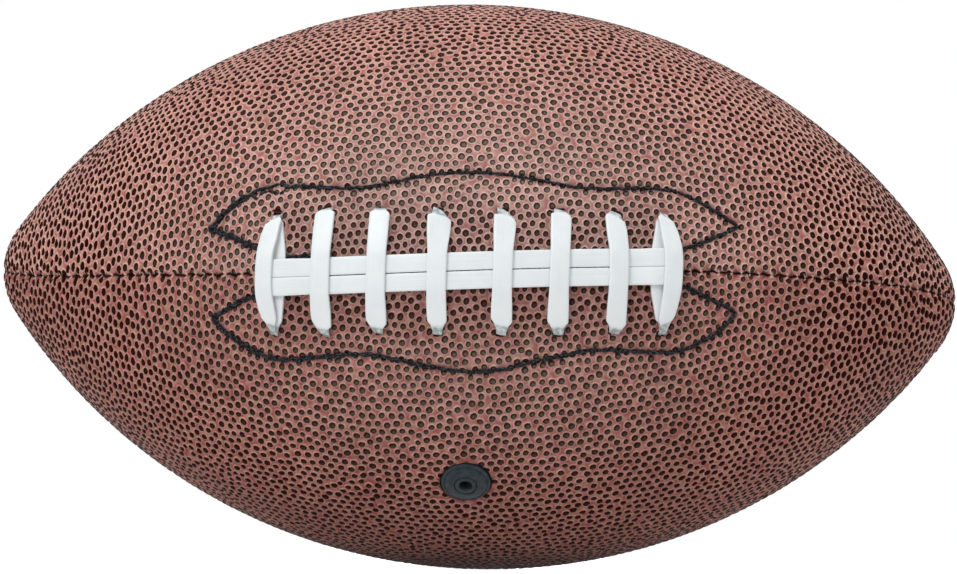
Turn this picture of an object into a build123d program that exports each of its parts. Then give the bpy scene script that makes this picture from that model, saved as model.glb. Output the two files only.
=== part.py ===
from build123d import *
import math
import os

# An american football in millimetres: X is the long axis, the lace faces -Y and Z is up.

# Cover
BALL_LENGTH = 285.0
BALL_DIAMETER = 168.5
TIP_RADIUS = 21.8  # rounding of each point of the ball
COVER_THICKNESS = 2.4
LINING_THICKNESS = 1.4
FACING_THICKNESS = 1.2
PLY_GAP = 0.2  # between one ply and the next

# Seams: the cover is turned in along them and sewn through the turned-in edges
SEAM_GAP = 0.2
SEAM_EDGE_THICKNESS = 1.6
SEAM_EDGE_REACH = 0.4  # how far the turned-in edge stands below the lining
SEAM_THREAD_DIAMETER = 0.9
SEAM_THREAD_CLEARANCE = 0.1
SEAM_THREAD_END_RADIUS = 5.0  # the sewing stops this far from the long axis
SEAM_THREAD_LACE_GAP = 2.0  # from the facing stitch to the lace seam's sewing

# Bladder
BLADDER_WALL = 1.0
BED_MARGIN = 2.0  # room round the facing in the bladder's hollow

# Laces: eight pairs of holes, two rails along the seam and the laces across them
LACE_WIDTH = 5.3
LACE_THICKNESS = 1.4
LACE_CORNER = 0.4
LACE_GAP = 0.15
LACE_PITCH = 16.8
LACE_END_PITCH = 12.8  # from the last cross lace to the end holes
LACE_CROSS_COUNT = 6
LACE_ROW = 16.2  # from the seam to a row of holes, along the cover
LACE_HOLE_CLEARANCE = 0.3
LACE_BEND = 1.2
LACE_SHOULDER_BEND = 2.5  # where a cross lace turns on to the rails
LACE_LIE_BEND = 20.0  # along the end lace that lies on the cover
LACE_LEG_REACH = 0.3  # how far a lace end stands below the facing
LACE_RUN_GAP = 0.5  # from a lace end to the run below it
RAIL_SLIT = 0.2
RAIL_OVERHANG = 4.5  # from the end holes to the end of a rail
RAIL_RAMP = 4.0  # length over which a rail climbs to the end lace
RAIL_CLEARANCE = 1.0  # from the top of that climb to the end lace
RAIL_LIFT = 0.2  # extra height of a rail over the end lace

# Facing stitch: one half of the line sewn round the lace, as (along seam, from seam)
STITCH_DIAMETER = 1.3
STITCH_START = (60.0, 6.0)
STITCH_CORNER = (76.5, 13.0)
STITCH_SHOULDER = (69.5, 21.0)
STITCH_HIGH_END = (59.0, 25.0)
STITCH_WAIST = (36.0, 23.4)
STITCH_CROWN = (16.0, 28.4)
STITCH_CORNER_RADIUS = 1.2
STITCH_CURVE_RADIUS = 14.0
STITCH_STEP = 5.0  # spacing of the points that hold the stitch to the cover
FACING_MARGIN = 3.0  # facing beyond its stitch

# Valve, half way between the lace seam and the bottom seam
VALVE_ANGLE = 45.0
VALVE_DIAMETER = 13.8
VALVE_CLEARANCE = 0.2
VALVE_SUNK = 0.2
VALVE_FLANGE_DIAMETER = 26.0
VALVE_FLANGE_THICKNESS = 1.6
VALVE_LENGTH = 15.0
VALVE_TUBE_DIAMETER = 10.4  # the narrow end inside the bladder
CORE_DIAMETER = 6.4
CORE_CLEARANCE = 0.05
CORE_SUNK = 0.5
CORE_LENGTH = 12.0
NEEDLE_DIAMETER = 2.1
NEEDLE_DEPTH = 10.0
NEEDLE_LEAD_DIAMETER = 3.2
NEEDLE_LEAD_DEPTH = 1.2
PATCH_DIAMETER = 34.0

# Sizes that follow from the ones above
HALF_LENGTH = BALL_LENGTH / 2
BALL_RADIUS = BALL_DIAMETER / 2
TIP_X = HALF_LENGTH - TIP_RADIUS
BELLY_RADIUS = (TIP_X ** 2 + BALL_RADIUS ** 2 - TIP_RADIUS ** 2) / (2 * (BALL_RADIUS - TIP_RADIUS))
BELLY_OFFSET = BELLY_RADIUS - BALL_RADIUS
TIP_ANGLE = math.degrees(math.atan2(BELLY_OFFSET, TIP_X))
LINING_TOP = COVER_THICKNESS + PLY_GAP
LINING_BOTTOM = LINING_TOP + LINING_THICKNESS
FACING_TOP = LINING_BOTTOM + PLY_GAP
FACING_BOTTOM = FACING_TOP + FACING_THICKNESS
SEAM_EDGE_BOTTOM = LINING_BOTTOM + SEAM_EDGE_REACH
SEAM_THREAD_DEPTH = (COVER_THICKNESS + SEAM_EDGE_BOTTOM) / 2
SEAM_EDGE_INNER = SEAM_GAP / 2 + SEAM_EDGE_THICKNESS
PLY_START = SEAM_EDGE_INNER + PLY_GAP
BLADDER_TOP = SEAM_EDGE_BOTTOM + PLY_GAP
BLADDER_BOTTOM = BLADDER_TOP + BLADDER_WALL
LEG_BOTTOM = FACING_BOTTOM + LACE_LEG_REACH
ROW_ANGLE = math.degrees(LACE_ROW / BALL_RADIUS)
RUN_DEPTH = LEG_BOTTOM + LACE_RUN_GAP + LACE_THICKNESS / 2
RUN_LOW = (BALL_RADIUS - RUN_DEPTH) * math.cos(math.radians(ROW_ANGLE)) - LACE_THICKNESS / 2
BED_DEPTH = BALL_RADIUS - RUN_LOW + 2 * PLY_GAP
RAIL_HALF = RAIL_SLIT / 2 + LACE_WIDTH
RAIL_TOP = LACE_GAP + LACE_THICKNESS
CROSS_SPAN = (LACE_CROSS_COUNT - 1) / 2 * LACE_PITCH
CROSS_PLACES = [i * LACE_PITCH - CROSS_SPAN for i in range(LACE_CROSS_COUNT)]
END_PLACE = CROSS_SPAN + LACE_END_PITCH
HOLE_PLACES = [-END_PLACE] + CROSS_PLACES + [END_PLACE]
BIG = BALL_LENGTH

PANELS = {
    "upper_front": (-1, 1),
    "lower_front": (-1, -1),
    "upper_rear": (1, 1),
    "lower_rear": (1, -1),
}


def turn_of(place):
    """Turn about the belly centre, in degrees, that carries x = 0 to a place along the seam."""
    return math.degrees(place / BELLY_RADIUS)


def along_seam(shape, place):
    """A shape built at x = 0, moved along the lace seam with the curve of the ball."""
    pivot = Axis((0, BELLY_OFFSET, 0), (0, 0, 1))
    return shape.rotate(pivot, turn_of(place))


def on_ball(place, across, lift):
    """A point above the cover: place along the lace seam, distance across it, height above."""
    side = math.radians(turn_of(place))
    reach = (BELLY_RADIUS + lift) * math.cos(side) - BELLY_OFFSET
    angle = across / reach
    x = (BELLY_RADIUS + lift) * math.sin(side)
    return (x, -reach * math.cos(angle), reach * math.sin(angle))


def outline(depth):
    """Half outline of the ball at a depth below the cover's surface, from point to point."""
    tip = TIP_RADIUS - depth
    right = CenterArc((TIP_X, 0), tip, 0, TIP_ANGLE)
    belly = CenterArc((0, -BELLY_OFFSET), BELLY_RADIUS - depth, TIP_ANGLE, 180 - 2 * TIP_ANGLE)
    left = CenterArc((-TIP_X, 0), tip, 180 - TIP_ANGLE, TIP_ANGLE)
    return [right, belly, left]


def ball(depth):
    """The whole ball, solid, at a depth below the cover's surface."""
    reach = HALF_LENGTH - depth
    edges = outline(depth) + [Line((-reach, 0), (reach, 0))]
    return revolve(make_face(edges), Axis.X, 360)


def shell(top, bottom):
    """One ply of the ball between two depths."""
    return ball(top) - ball(bottom)


def block(low, high):
    """A box between two corners."""
    size = [b - a for a, b in zip(low, high)]
    return Pos(*low) * Box(*size, align=(Align.MIN, Align.MIN, Align.MIN))


def quarter(side_y, side_z, start):
    """The quarter of space beyond a distance from both seam planes."""
    corner = (-BIG, start, start)
    space = block(corner, (BIG, BIG, BIG))
    if side_y < 0:
        space = space.mirror(Plane.XZ)
    if side_z < 0:
        space = space.mirror(Plane.XY)
    return space


def valve_plane():
    """Plane through the ball's centre whose normal is the valve's axis."""
    angle = math.radians(VALVE_ANGLE)
    return Plane((0, 0, 0), x_dir=(1, 0, 0), z_dir=(0, -math.cos(angle), -math.sin(angle)))


def valve_rod(diameter, low, high):
    """A rod on the valve's axis between two distances from the long axis."""
    rod = Cylinder(diameter / 2, high - low, align=(Align.CENTER, Align.CENTER, Align.MIN))
    return valve_plane() * Pos(0, 0, low) * rod


def lace_holes():
    """Cutters for the two rows of lace holes; the end holes take two laces."""
    cutters = []
    long = LACE_WIDTH + 2 * LACE_HOLE_CLEARANCE
    for place in HOLE_PLACES:
        plies = 2 if abs(place) == END_PLACE else 1
        wide = plies * LACE_THICKNESS + (plies - 1) * LACE_GAP + 2 * LACE_HOLE_CLEARANCE
        slot = Box(long, 30, wide)
        for side in (1, -1):
            hole = Pos(0, -BALL_RADIUS, 0) * slot
            hole = hole.rotate(Axis.X, -side * ROW_ANGLE)
            cutters.append(along_seam(hole, place))
    return cutters


def seam_path(depth, span):
    """Sewing line in a seam: "whole", or the "left" or "right" stretch beside the lace."""
    tip = TIP_RADIUS - depth
    belly = BELLY_RADIUS - depth
    stop = math.degrees(math.asin(SEAM_THREAD_END_RADIUS / tip))
    right = CenterArc((TIP_X, 0), tip, stop, TIP_ANGLE - stop)
    left = CenterArc((-TIP_X, 0), tip, 180 - TIP_ANGLE, TIP_ANGLE - stop)
    near = 90 - turn_of(STITCH_START[0] + SEAM_THREAD_LACE_GAP)
    if span == "right":
        return [right, CenterArc((0, -BELLY_OFFSET), belly, TIP_ANGLE, near - TIP_ANGLE)]
    if span == "left":
        return [CenterArc((0, -BELLY_OFFSET), belly, 180 - near, near - TIP_ANGLE), left]
    return [right, CenterArc((0, -BELLY_OFFSET), belly, TIP_ANGLE, 180 - 2 * TIP_ANGLE), left]


def seam_tube(span, turn, diameter):
    """A round thread along a seam; the outline stands in +Y and is turned about the long axis."""
    path = Wire(seam_path(SEAM_THREAD_DEPTH, span))
    section = Plane(path @ 0, z_dir=path % 0) * Circle(diameter / 2)
    return sweep(section, path).rotate(Axis.X, turn)


SEAMS = {
    "front_left": ("left", 180),
    "front_right": ("right", 180),
    "top": ("whole", 90),
    "rear": ("whole", 0),
    "bottom": ("whole", 270),
}


def panel(sides, cutters):
    """One leather panel with its turned-in edges."""
    space = quarter(*sides, SEAM_GAP / 2)
    edges = space - quarter(*sides, SEAM_EDGE_INNER)
    skin = shell(0, COVER_THICKNESS) & space
    turned = shell(COVER_THICKNESS, SEAM_EDGE_BOTTOM) & edges
    return (skin + turned) - cutters


def lining(sides, cutters):
    """The lining of one panel, inside its turned-in edges."""
    return (shell(LINING_TOP, LINING_BOTTOM) & quarter(*sides, PLY_START)) - cutters


def stitch_points():
    """Half of the facing's stitch line from one lace end to the other, as flat points."""
    half = [STITCH_START, STITCH_CORNER, STITCH_SHOULDER, STITCH_HIGH_END, STITCH_WAIST, STITCH_CROWN]
    return [(-x, z) for x, z in half] + [(x, z) for x, z in reversed(half)]


def stitch_line():
    """The flat stitch line with its corners rounded."""
    half = [STITCH_CORNER_RADIUS] + [STITCH_CURVE_RADIUS / 2] + 3 * [STITCH_CURVE_RADIUS]
    return FilletPolyline(stitch_points(), radius=half + half[::-1])


def facing_stitch(side):
    """The thread that holds the facing, lying on the cover round the lace."""
    lift = STITCH_DIAMETER / 2 + LACE_GAP
    pieces = []
    for edge in stitch_line().edges():
        steps = max(2, math.ceil(edge.length / STITCH_STEP))
        flat = [edge @ (i / steps) for i in range(steps + 1)]
        ways = [edge % (i / steps) for i in range(steps + 1)]
        points = [Vector(*on_ball(p.X, side * p.Y, lift)) for p in flat]
        ahead = [on_ball(p.X + 0.01 * w.X, side * (p.Y + 0.01 * w.Y), lift) for p, w in zip(flat, ways)]
        tangents = [(Vector(*b) - a).normalized() for a, b in zip(points, ahead)]
        pieces.append(Spline(points, tangents=[tangents[0], tangents[-1]]))
    path = Wire(pieces)
    section = Plane(path @ 0, z_dir=path % 0) * Circle(STITCH_DIAMETER / 2)
    return sweep(section, path)


def facing(side, cutters):
    """The cloth under the lace holes, a margin wider than its stitch."""
    points = stitch_points()
    low = PLY_START
    closing = [(points[-1][0], low), (points[0][0], low)]
    flat = make_face(Polyline(points + closing, close=True))
    flat = offset(flat, FACING_MARGIN)
    prism = extrude(Plane.XZ * flat, BIG)
    prism = prism & block((-BIG, -BIG, low), (BIG, 0, BIG))
    if side < 0:
        prism = prism.mirror(Plane.XY)
    return (shell(FACING_TOP, FACING_BOTTOM) & prism) - cutters


def pushed_in(top, bed, margin):
    """The ball at a depth, with a hollow under the lace down to a greater depth."""
    long = STITCH_CORNER[0] + FACING_MARGIN + margin
    wide = STITCH_CROWN[1] + FACING_MARGIN + margin
    return ball(top) - (block((-long, -BIG, -wide), (long, 0, wide)) - ball(bed))


def bladder(cutters):
    """The air bladder, hollow, pushed in to clear the facing and the lace below it."""
    outer = pushed_in(BLADDER_TOP, BED_DEPTH, BED_MARGIN)
    inner = pushed_in(BLADDER_BOTTOM, BED_DEPTH + BLADDER_WALL, BED_MARGIN + BLADDER_WALL)
    return (outer - inner) - cutters


def lace_band(path):
    """A flat lace with rounded edges swept along a path in the YZ plane."""
    section = Plane(path @ 0, x_dir=(1, 0, 0), z_dir=path % 0)
    return sweep(section * RectangleRounded(LACE_WIDTH, LACE_THICKNESS, LACE_CORNER), path)


def ring_point(angle, radius):
    """A point at x = 0, at an angle from the lace seam about the long axis."""
    turn = math.radians(angle)
    return (0, -radius * math.cos(turn), radius * math.sin(turn))


def cross_lace(row, lift, under):
    """A lace over the rails: lift is what its bends lie on, under what its middle lies on."""
    leg = ring_point(row, BALL_RADIUS - LEG_BOTTOM)
    bend = ring_point(row, BALL_RADIUS + lift + LACE_GAP + LACE_THICKNESS / 2)
    height = BALL_RADIUS + under + LACE_GAP + LACE_THICKNESS / 2
    shoulder = (0, -height, RAIL_HALF + LACE_THICKNESS)
    points = [leg, bend, shoulder]
    points += [(x, y, -z) for x, y, z in reversed(points)]
    return lace_band(FilletPolyline(points, radius=[LACE_BEND, LACE_SHOULDER_BEND, LACE_SHOULDER_BEND, LACE_BEND]))


def under_lace(row):
    """The lace that lies on the cover below the rail ends."""
    leg = ring_point(row, BALL_RADIUS - LEG_BOTTOM)
    lift = (BALL_RADIUS + LACE_GAP + LACE_THICKNESS / 2) / math.cos(math.radians(row / 3))
    points = [leg, ring_point(row, lift), ring_point(row / 3, lift)]
    points += [(x, y, -z) for x, y, z in reversed(points)]
    return lace_band(FilletPolyline(points, radius=[LACE_BEND, LACE_LIE_BEND, LACE_LIE_BEND, LACE_BEND]))


def rail(side):
    """One of the two laces along the seam, climbing over the end laces."""
    low = BELLY_RADIUS + LACE_GAP
    high = low + RAIL_TOP + RAIL_LIFT
    edge = END_PLACE - LACE_WIDTH / 2 - RAIL_CLEARANCE
    turns = [turn_of(edge - RAIL_RAMP), turn_of(edge), turn_of(END_PLACE + RAIL_OVERHANG)]

    def loop(lift):
        """One long edge of the rail: an arc between ramps, with an arc at each end."""
        def at(turn, radius):
            angle = math.radians(90 + turn)
            return (radius * math.cos(angle), radius * math.sin(angle))
        a, b, c = turns
        low_r, high_r = low + lift, high + lift
        return [
            CenterArc((0, 0), high_r, 90 - c, c - b),
            Line(at(-b, high_r), at(-a, low_r)),
            CenterArc((0, 0), low_r, 90 - a, 2 * a),
            Line(at(a, low_r), at(b, high_r)),
            CenterArc((0, 0), high_r, 90 + b, c - b),
        ]

    inner = loop(0)
    outer = loop(LACE_THICKNESS)
    ends = [Line(inner[0] @ 0, outer[0] @ 0), Line(inner[-1] @ 1, outer[-1] @ 1)]
    band = extrude(make_face(inner + outer + ends), LACE_WIDTH)
    band = Pos(0, -BELLY_OFFSET, RAIL_SLIT / 2) * band
    band = band.mirror(Plane.XZ)
    return band if side > 0 else band.mirror(Plane.XY)


def inner_runs():
    """The runs of lace below the facing, from each lower hole to the next upper one."""
    runs = []
    half_width = (BALL_RADIUS - RUN_DEPTH) * math.sin(math.radians(ROW_ANGLE))
    height = (BALL_RADIUS - RUN_DEPTH) * math.cos(math.radians(ROW_ANGLE))
    for start, end in zip(HOLE_PLACES, HOLE_PLACES[1:]):
        step = end - start
        lean = math.degrees(math.atan2(2 * half_width, step))
        strip = Box(math.hypot(step, 2 * half_width), LACE_THICKNESS, LACE_WIDTH)
        strip = Pos(0, -height, 0) * Rot(0, -lean, 0) * strip
        runs.append(along_seam(strip, (start + end) / 2))
    return Compound(children=runs)


def valve_body():
    """The rubber valve: its face in the cover and its flange inside the bladder."""
    low = BALL_RADIUS - VALVE_LENGTH
    face = valve_rod(VALVE_DIAMETER, BALL_RADIUS - BLADDER_BOTTOM - 1, BALL_RADIUS + 2) & ball(VALVE_SUNK)
    top = BLADDER_BOTTOM + PLY_GAP
    flange = shell(top, top + VALVE_FLANGE_THICKNESS) & valve_rod(VALVE_FLANGE_DIAMETER, 60, BALL_RADIUS)
    tube = valve_rod(VALVE_TUBE_DIAMETER, low, BALL_RADIUS - BLADDER_BOTTOM)
    return (face + flange + tube) - valve_rod(CORE_DIAMETER + 2 * CORE_CLEARANCE, low - 1, BALL_RADIUS + 2)


def valve_core():
    """The plug in the valve, with the blind bore that takes the pump needle."""
    low = BALL_RADIUS - CORE_LENGTH
    plug = valve_rod(CORE_DIAMETER, low, BALL_RADIUS + 2) & ball(CORE_SUNK)
    bore = valve_rod(NEEDLE_DIAMETER, BALL_RADIUS - NEEDLE_DEPTH, BALL_RADIUS + 2)
    lead = Cone(
        NEEDLE_DIAMETER / 2,
        NEEDLE_LEAD_DIAMETER / 2,
        NEEDLE_LEAD_DEPTH,
        align=(Align.CENTER, Align.CENTER, Align.MAX),
    )
    return plug - bore - valve_plane() * Pos(0, 0, BALL_RADIUS - CORE_SUNK) * lead


def valve_patch():
    """The reinforcing ring round the valve, in a cut-out of the lining."""
    disc = valve_rod(PATCH_DIAMETER, 60, BALL_RADIUS)
    hole = valve_rod(VALVE_DIAMETER + 2 * VALVE_CLEARANCE, 60, BALL_RADIUS)
    return (shell(LINING_TOP, LINING_BOTTOM) & disc) - hole


def parts():
    """Every piece of the ball by name."""
    holes = lace_holes()
    valve_hole = valve_rod(VALVE_DIAMETER + 2 * VALVE_CLEARANCE, 60, BALL_RADIUS + 2)
    patch_hole = valve_rod(PATCH_DIAMETER + 2 * PLY_GAP, 60, BALL_RADIUS + 2)
    groove = SEAM_THREAD_DIAMETER + 2 * SEAM_THREAD_CLEARANCE
    grooves = [seam_tube(span, turn, groove) for span, turn in SEAMS.values()]
    made = {}
    for name, sides in PANELS.items():
        panel_cuts = list(grooves)
        lining_cuts = []
        if sides[0] < 0:
            panel_cuts += holes
            lining_cuts += holes
        if name == "lower_front":
            panel_cuts.append(valve_hole)
            lining_cuts.append(patch_hole)
        made["panel_" + name] = panel(sides, panel_cuts)
        made["lining_" + name] = lining(sides, lining_cuts)
    for name, side in {"upper": 1, "lower": -1}.items():
        made["facing_" + name] = facing(side, holes)
        made["facing_stitch_" + name] = facing_stitch(side)
        made["lace_rail_" + name] = rail(side)
    for name, (span, turn) in SEAMS.items():
        made["seam_thread_" + name] = seam_tube(span, turn, SEAM_THREAD_DIAMETER)
    for number, place in enumerate(CROSS_PLACES, 2):
        made[f"lace_cross_{number}"] = along_seam(cross_lace(ROW_ANGLE, 0, RAIL_TOP), place)
    apart = math.degrees((LACE_THICKNESS + LACE_GAP) / 2 / BALL_RADIUS)
    for name, place in {"left": -END_PLACE, "right": END_PLACE}.items():
        over = cross_lace(ROW_ANGLE + apart, RAIL_TOP, 2 * RAIL_TOP + RAIL_LIFT)
        made[f"lace_end_{name}_under"] = along_seam(under_lace(ROW_ANGLE - apart), place)
        made[f"lace_end_{name}_over"] = along_seam(over, place)
    made["lace_inner_runs"] = inner_runs()
    made["bladder"] = bladder([valve_hole])
    made["valve_body"] = valve_body()
    made["valve_core"] = valve_core()
    made["valve_patch"] = valve_patch()
    return made


os.makedirs("parts", exist_ok=True)
for node, shape in parts().items():
    export_step(shape, f"parts/{node}.step")
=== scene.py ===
"""Dresses an american football: leather panels, a white lace, black facing stitches and a rubber valve."""

import logging
import math
from dataclasses import dataclass
from enum import Enum
from typing import Any, Optional, Sequence

import bpy
import numpy as np
from mathutils import Matrix, Vector
from mathutils.geometry import delaunay_2d_cdt


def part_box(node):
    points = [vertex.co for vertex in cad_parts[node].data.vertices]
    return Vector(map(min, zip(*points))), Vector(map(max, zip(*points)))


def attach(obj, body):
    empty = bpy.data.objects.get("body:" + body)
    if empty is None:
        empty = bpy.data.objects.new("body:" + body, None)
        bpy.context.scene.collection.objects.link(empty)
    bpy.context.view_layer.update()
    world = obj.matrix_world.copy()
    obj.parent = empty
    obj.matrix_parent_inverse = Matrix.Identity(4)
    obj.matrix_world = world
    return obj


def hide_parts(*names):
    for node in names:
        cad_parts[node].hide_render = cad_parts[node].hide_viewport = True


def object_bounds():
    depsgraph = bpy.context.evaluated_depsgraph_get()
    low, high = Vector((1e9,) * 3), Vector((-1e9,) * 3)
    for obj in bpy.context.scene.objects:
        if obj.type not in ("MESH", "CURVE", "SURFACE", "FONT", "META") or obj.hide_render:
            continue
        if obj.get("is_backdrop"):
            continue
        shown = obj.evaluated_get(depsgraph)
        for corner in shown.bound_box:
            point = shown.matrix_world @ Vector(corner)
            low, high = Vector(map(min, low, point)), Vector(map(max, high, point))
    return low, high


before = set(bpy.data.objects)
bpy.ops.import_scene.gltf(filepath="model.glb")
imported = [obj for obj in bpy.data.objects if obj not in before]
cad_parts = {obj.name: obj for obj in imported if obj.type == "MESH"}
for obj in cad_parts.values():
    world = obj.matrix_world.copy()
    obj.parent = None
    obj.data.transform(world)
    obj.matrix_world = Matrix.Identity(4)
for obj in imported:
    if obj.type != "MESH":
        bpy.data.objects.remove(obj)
CAD_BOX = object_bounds()

LOG = logging.getLogger("football")
MM = 0.001  # every shape below is worked out in millimetres
SHARP_ANGLE = math.radians(60.0)  # faces that meet at more than this show an edge
Span = tuple[float, float]  # two values that belong together, such as a start and an end


class Body(str, Enum):
    """The rigid bodies that pieces ride on."""

    BALL = "ball"
    VALVE = "valve"
    CORE = "valve_core"


class Side(Enum):
    """Above or below the lace seam, as a sign on the distance across it."""

    UPPER = 1.0
    LOWER = -1.0


class End(Enum):
    """End of the lace, as the names of its pieces give it."""

    LEFT = "left"
    RIGHT = "right"


# Colour and nodes

WHITE = "#ffffff"  # backdrop and floor, as the camera sees them
SMOOTH = {"interpolation_type": "SMOOTHSTEP"}
COLOURS = {"data_type": "RGBA"}
TIMES = {"operation": "MULTIPLY"}
TIMES_PLUS = {"operation": "MULTIPLY_ADD"}
CLAMPED = {"use_clamp": True}
LESS = {"operation": "SUBTRACT"}
LENGTH = {"operation": "LENGTH"}


def linear(code: str) -> tuple[float, ...]:
    """Turns an sRGB hex colour into linear RGBA.

    Args:
        code: Colour such as "#a06050".

    Returns:
        Four linear values, the last of which is an alpha of 1.
    """
    parts = [int(code[i:i + 2], 16) / 255 for i in (1, 3, 5)]
    return tuple(p / 12.92 if p <= 0.04045 else ((p + 0.055) / 1.055) ** 2.4 for p in parts) + (1.0,)


def fill(tree: Any, node: Any, inputs: dict) -> None:
    """Sets or links inputs of a shader node.

    Args:
        tree: Node tree that holds the node.
        node: The node.
        inputs: Values, nodes or sockets by input name or number; a node stands for its first output.
    """
    for key, value in inputs.items():
        if isinstance(value, bpy.types.Node):
            value = value.outputs[0]
        if isinstance(value, bpy.types.NodeSocket):
            tree.links.new(value, node.inputs[key])
        else:
            node.inputs[key].default_value = value


def add(tree: Any, kind: str, settings: Optional[dict] = None, inputs: Optional[dict] = None) -> Any:
    """Adds a shader node, sets its properties and fills or links its inputs.

    Args:
        tree: Node tree that takes the node.
        kind: Node type without its "ShaderNode" prefix.
        settings: Properties by name.
        inputs: What its inputs take.

    Returns:
        The new node.
    """
    node = tree.nodes.new("ShaderNode" + kind)
    for key, value in (settings or {}).items():
        setattr(node, key, value)
    fill(tree, node, inputs or {})
    return node


def blank_material(name: str) -> tuple[Any, Any, Any]:
    """Makes a material that holds only its surface shader.

    Args:
        name: Name of the material.

    Returns:
        The material, its node tree and its Principled shader.
    """
    material = bpy.data.materials.new(name)
    material.use_nodes = True
    tree = material.node_tree
    return material, tree, tree.nodes["Principled BSDF"]


@dataclass(frozen=True)
class Ramp:
    """A rise or fall of one value while another goes from low to high."""

    low: float
    high: float
    first: float = 0.0
    last: float = 1.0

    def of(self, value: Any) -> dict[str, Any]:
        """Gives the inputs of a Map Range node that puts a value on the ramp."""
        return {"Value": value, "From Min": self.low, "From Max": self.high,
                "To Min": self.first, "To Max": self.last}


# Shapes as arrays


def smoothstep(value: np.ndarray, low: float, high: float) -> np.ndarray:
    """Rises smoothly from 0 at low to 1 at high: 3u^2 - 2u^3 of the clipped share u."""
    share = np.clip((value - low) / (high - low), 0.0, 1.0)
    return share * share * (3.0 - 2.0 * share)


def cut_corners(points: np.ndarray, rounds: int) -> np.ndarray:
    """Rounds an open line by cutting each corner at a quarter of its runs, several times over.

    Args:
        points: Line as rows of coordinates.
        rounds: How many times all corners are cut.

    Returns:
        The rounded line with the same two ends.
    """
    for _ in range(rounds):
        near = 0.75 * points[:-1] + 0.25 * points[1:]
        far = 0.25 * points[:-1] + 0.75 * points[1:]
        middle = np.stack([near, far], axis=1).reshape(-1, points.shape[1])
        points = np.concatenate([points[:1], middle, points[-1:]])
    return points


def distance_along(points: np.ndarray) -> np.ndarray:
    """Distance of each point of a line from its start."""
    return np.concatenate([[0.0], np.cumsum(np.linalg.norm(np.diff(points, axis=0), axis=1))])


def even_steps(points: np.ndarray, step: float) -> tuple[np.ndarray, np.ndarray]:
    """Spaces points evenly along a line.

    Args:
        points: Line as rows of coordinates.
        step: Distance between points, in millimetres.

    Returns:
        The new points and their distance along the line.
    """
    run = distance_along(points)
    at = np.linspace(0.0, run[-1], max(2, round(run[-1] / step) + 1))
    return np.stack([np.interp(at, run, column) for column in points.T], axis=1), at


def unit(vectors: np.ndarray) -> np.ndarray:
    """Scales each vector to length 1."""
    return vectors / np.maximum(np.linalg.norm(vectors, axis=-1, keepdims=True), 1e-9)


def boundary_edges(faces: np.ndarray) -> np.ndarray:
    """Finds the edges that only one triangle uses, each in that triangle's direction.

    Args:
        faces: Triangles as rows of three vertex numbers.

    Returns:
        Edges as rows of two vertex numbers.
    """
    edges = np.concatenate([faces[:, [0, 1]], faces[:, [1, 2]], faces[:, [2, 0]]])
    key = edges.min(axis=1).astype(np.int64) * (faces.max() + 1) + edges.max(axis=1)
    _, inverse, counts = np.unique(key, return_inverse=True, return_counts=True)
    return edges[counts[inverse] == 1]


@dataclass
class Surface:
    """Arrays of one mesh: points in millimetres, faces, and what its material reads."""

    points: np.ndarray
    faces: list[np.ndarray]
    uv: Optional[np.ndarray] = None
    point_values: Optional[dict[str, np.ndarray]] = None
    face_values: Optional[dict[str, np.ndarray]] = None

    def piece(self, name: str, material: Any, body: Body, nodes: Sequence[str], slot: str) -> None:
        """Makes the object, dresses it and ties it to the frame.

        Args:
            name: Name of the piece.
            material: Its material.
            body: Body that it rides on.
            nodes: CAD nodes that it stands for.
            slot: Material slot of the record; not used.
        """
        mesh = bpy.data.meshes.new(name)
        index = np.concatenate([f.ravel() for f in self.faces]).astype(np.int32)
        sizes = np.concatenate([np.full(len(f), f.shape[1]) for f in self.faces])
        starts = np.concatenate([[0], np.cumsum(sizes)[:-1]]).astype(np.int32)
        mesh.vertices.add(len(self.points))
        mesh.vertices.foreach_set("co", (self.points * MM).astype(np.float32).ravel())
        mesh.loops.add(len(index))
        mesh.loops.foreach_set("vertex_index", index)
        mesh.polygons.add(len(sizes))
        mesh.polygons.foreach_set("loop_start", starts)
        mesh.update(calc_edges=True)
        if self.uv is not None:
            mesh.uv_layers.new(name="pattern").data.foreach_set("uv", self.uv.astype(np.float32).ravel())
        for domain, values in (("POINT", self.point_values), ("FACE", self.face_values)):
            for key, array in (values or {}).items():
                mesh.attributes.new(key, "FLOAT", domain).data.foreach_set("value", array.astype(np.float32))
        mesh.shade_smooth()
        mesh.set_sharp_from_angle(angle=SHARP_ANGLE)
        mesh.materials.append(material)
        made = bpy.data.objects.new(name, mesh)
        bpy.context.scene.collection.objects.link(made)
        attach(made, body.value)
        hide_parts(*nodes)
        LOG.info("%s: %d points, %d faces", name, len(self.points), len(sizes))


def tube(rows: int, columns: int) -> list[np.ndarray]:
    """Joins a grid of points into a tube with a fan of triangles over each end.

    Args:
        rows: Points along the tube.
        columns: Points round it.

    Returns:
        Quads of the wall and triangles of the two fans, whose middles are the two points after the grid.
    """
    number = np.arange(rows * columns).reshape(rows, columns)
    beside = np.roll(number, -1, axis=1)
    wall = np.stack([number[:-1], beside[:-1], beside[1:], number[1:]], axis=-1).reshape(-1, 4)
    first = np.stack([np.full(columns, number.size), beside[0], number[0]], axis=1)
    last = np.stack([np.full(columns, number.size + 1), number[-1], beside[-1]], axis=1)
    return [wall, first, last]


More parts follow.
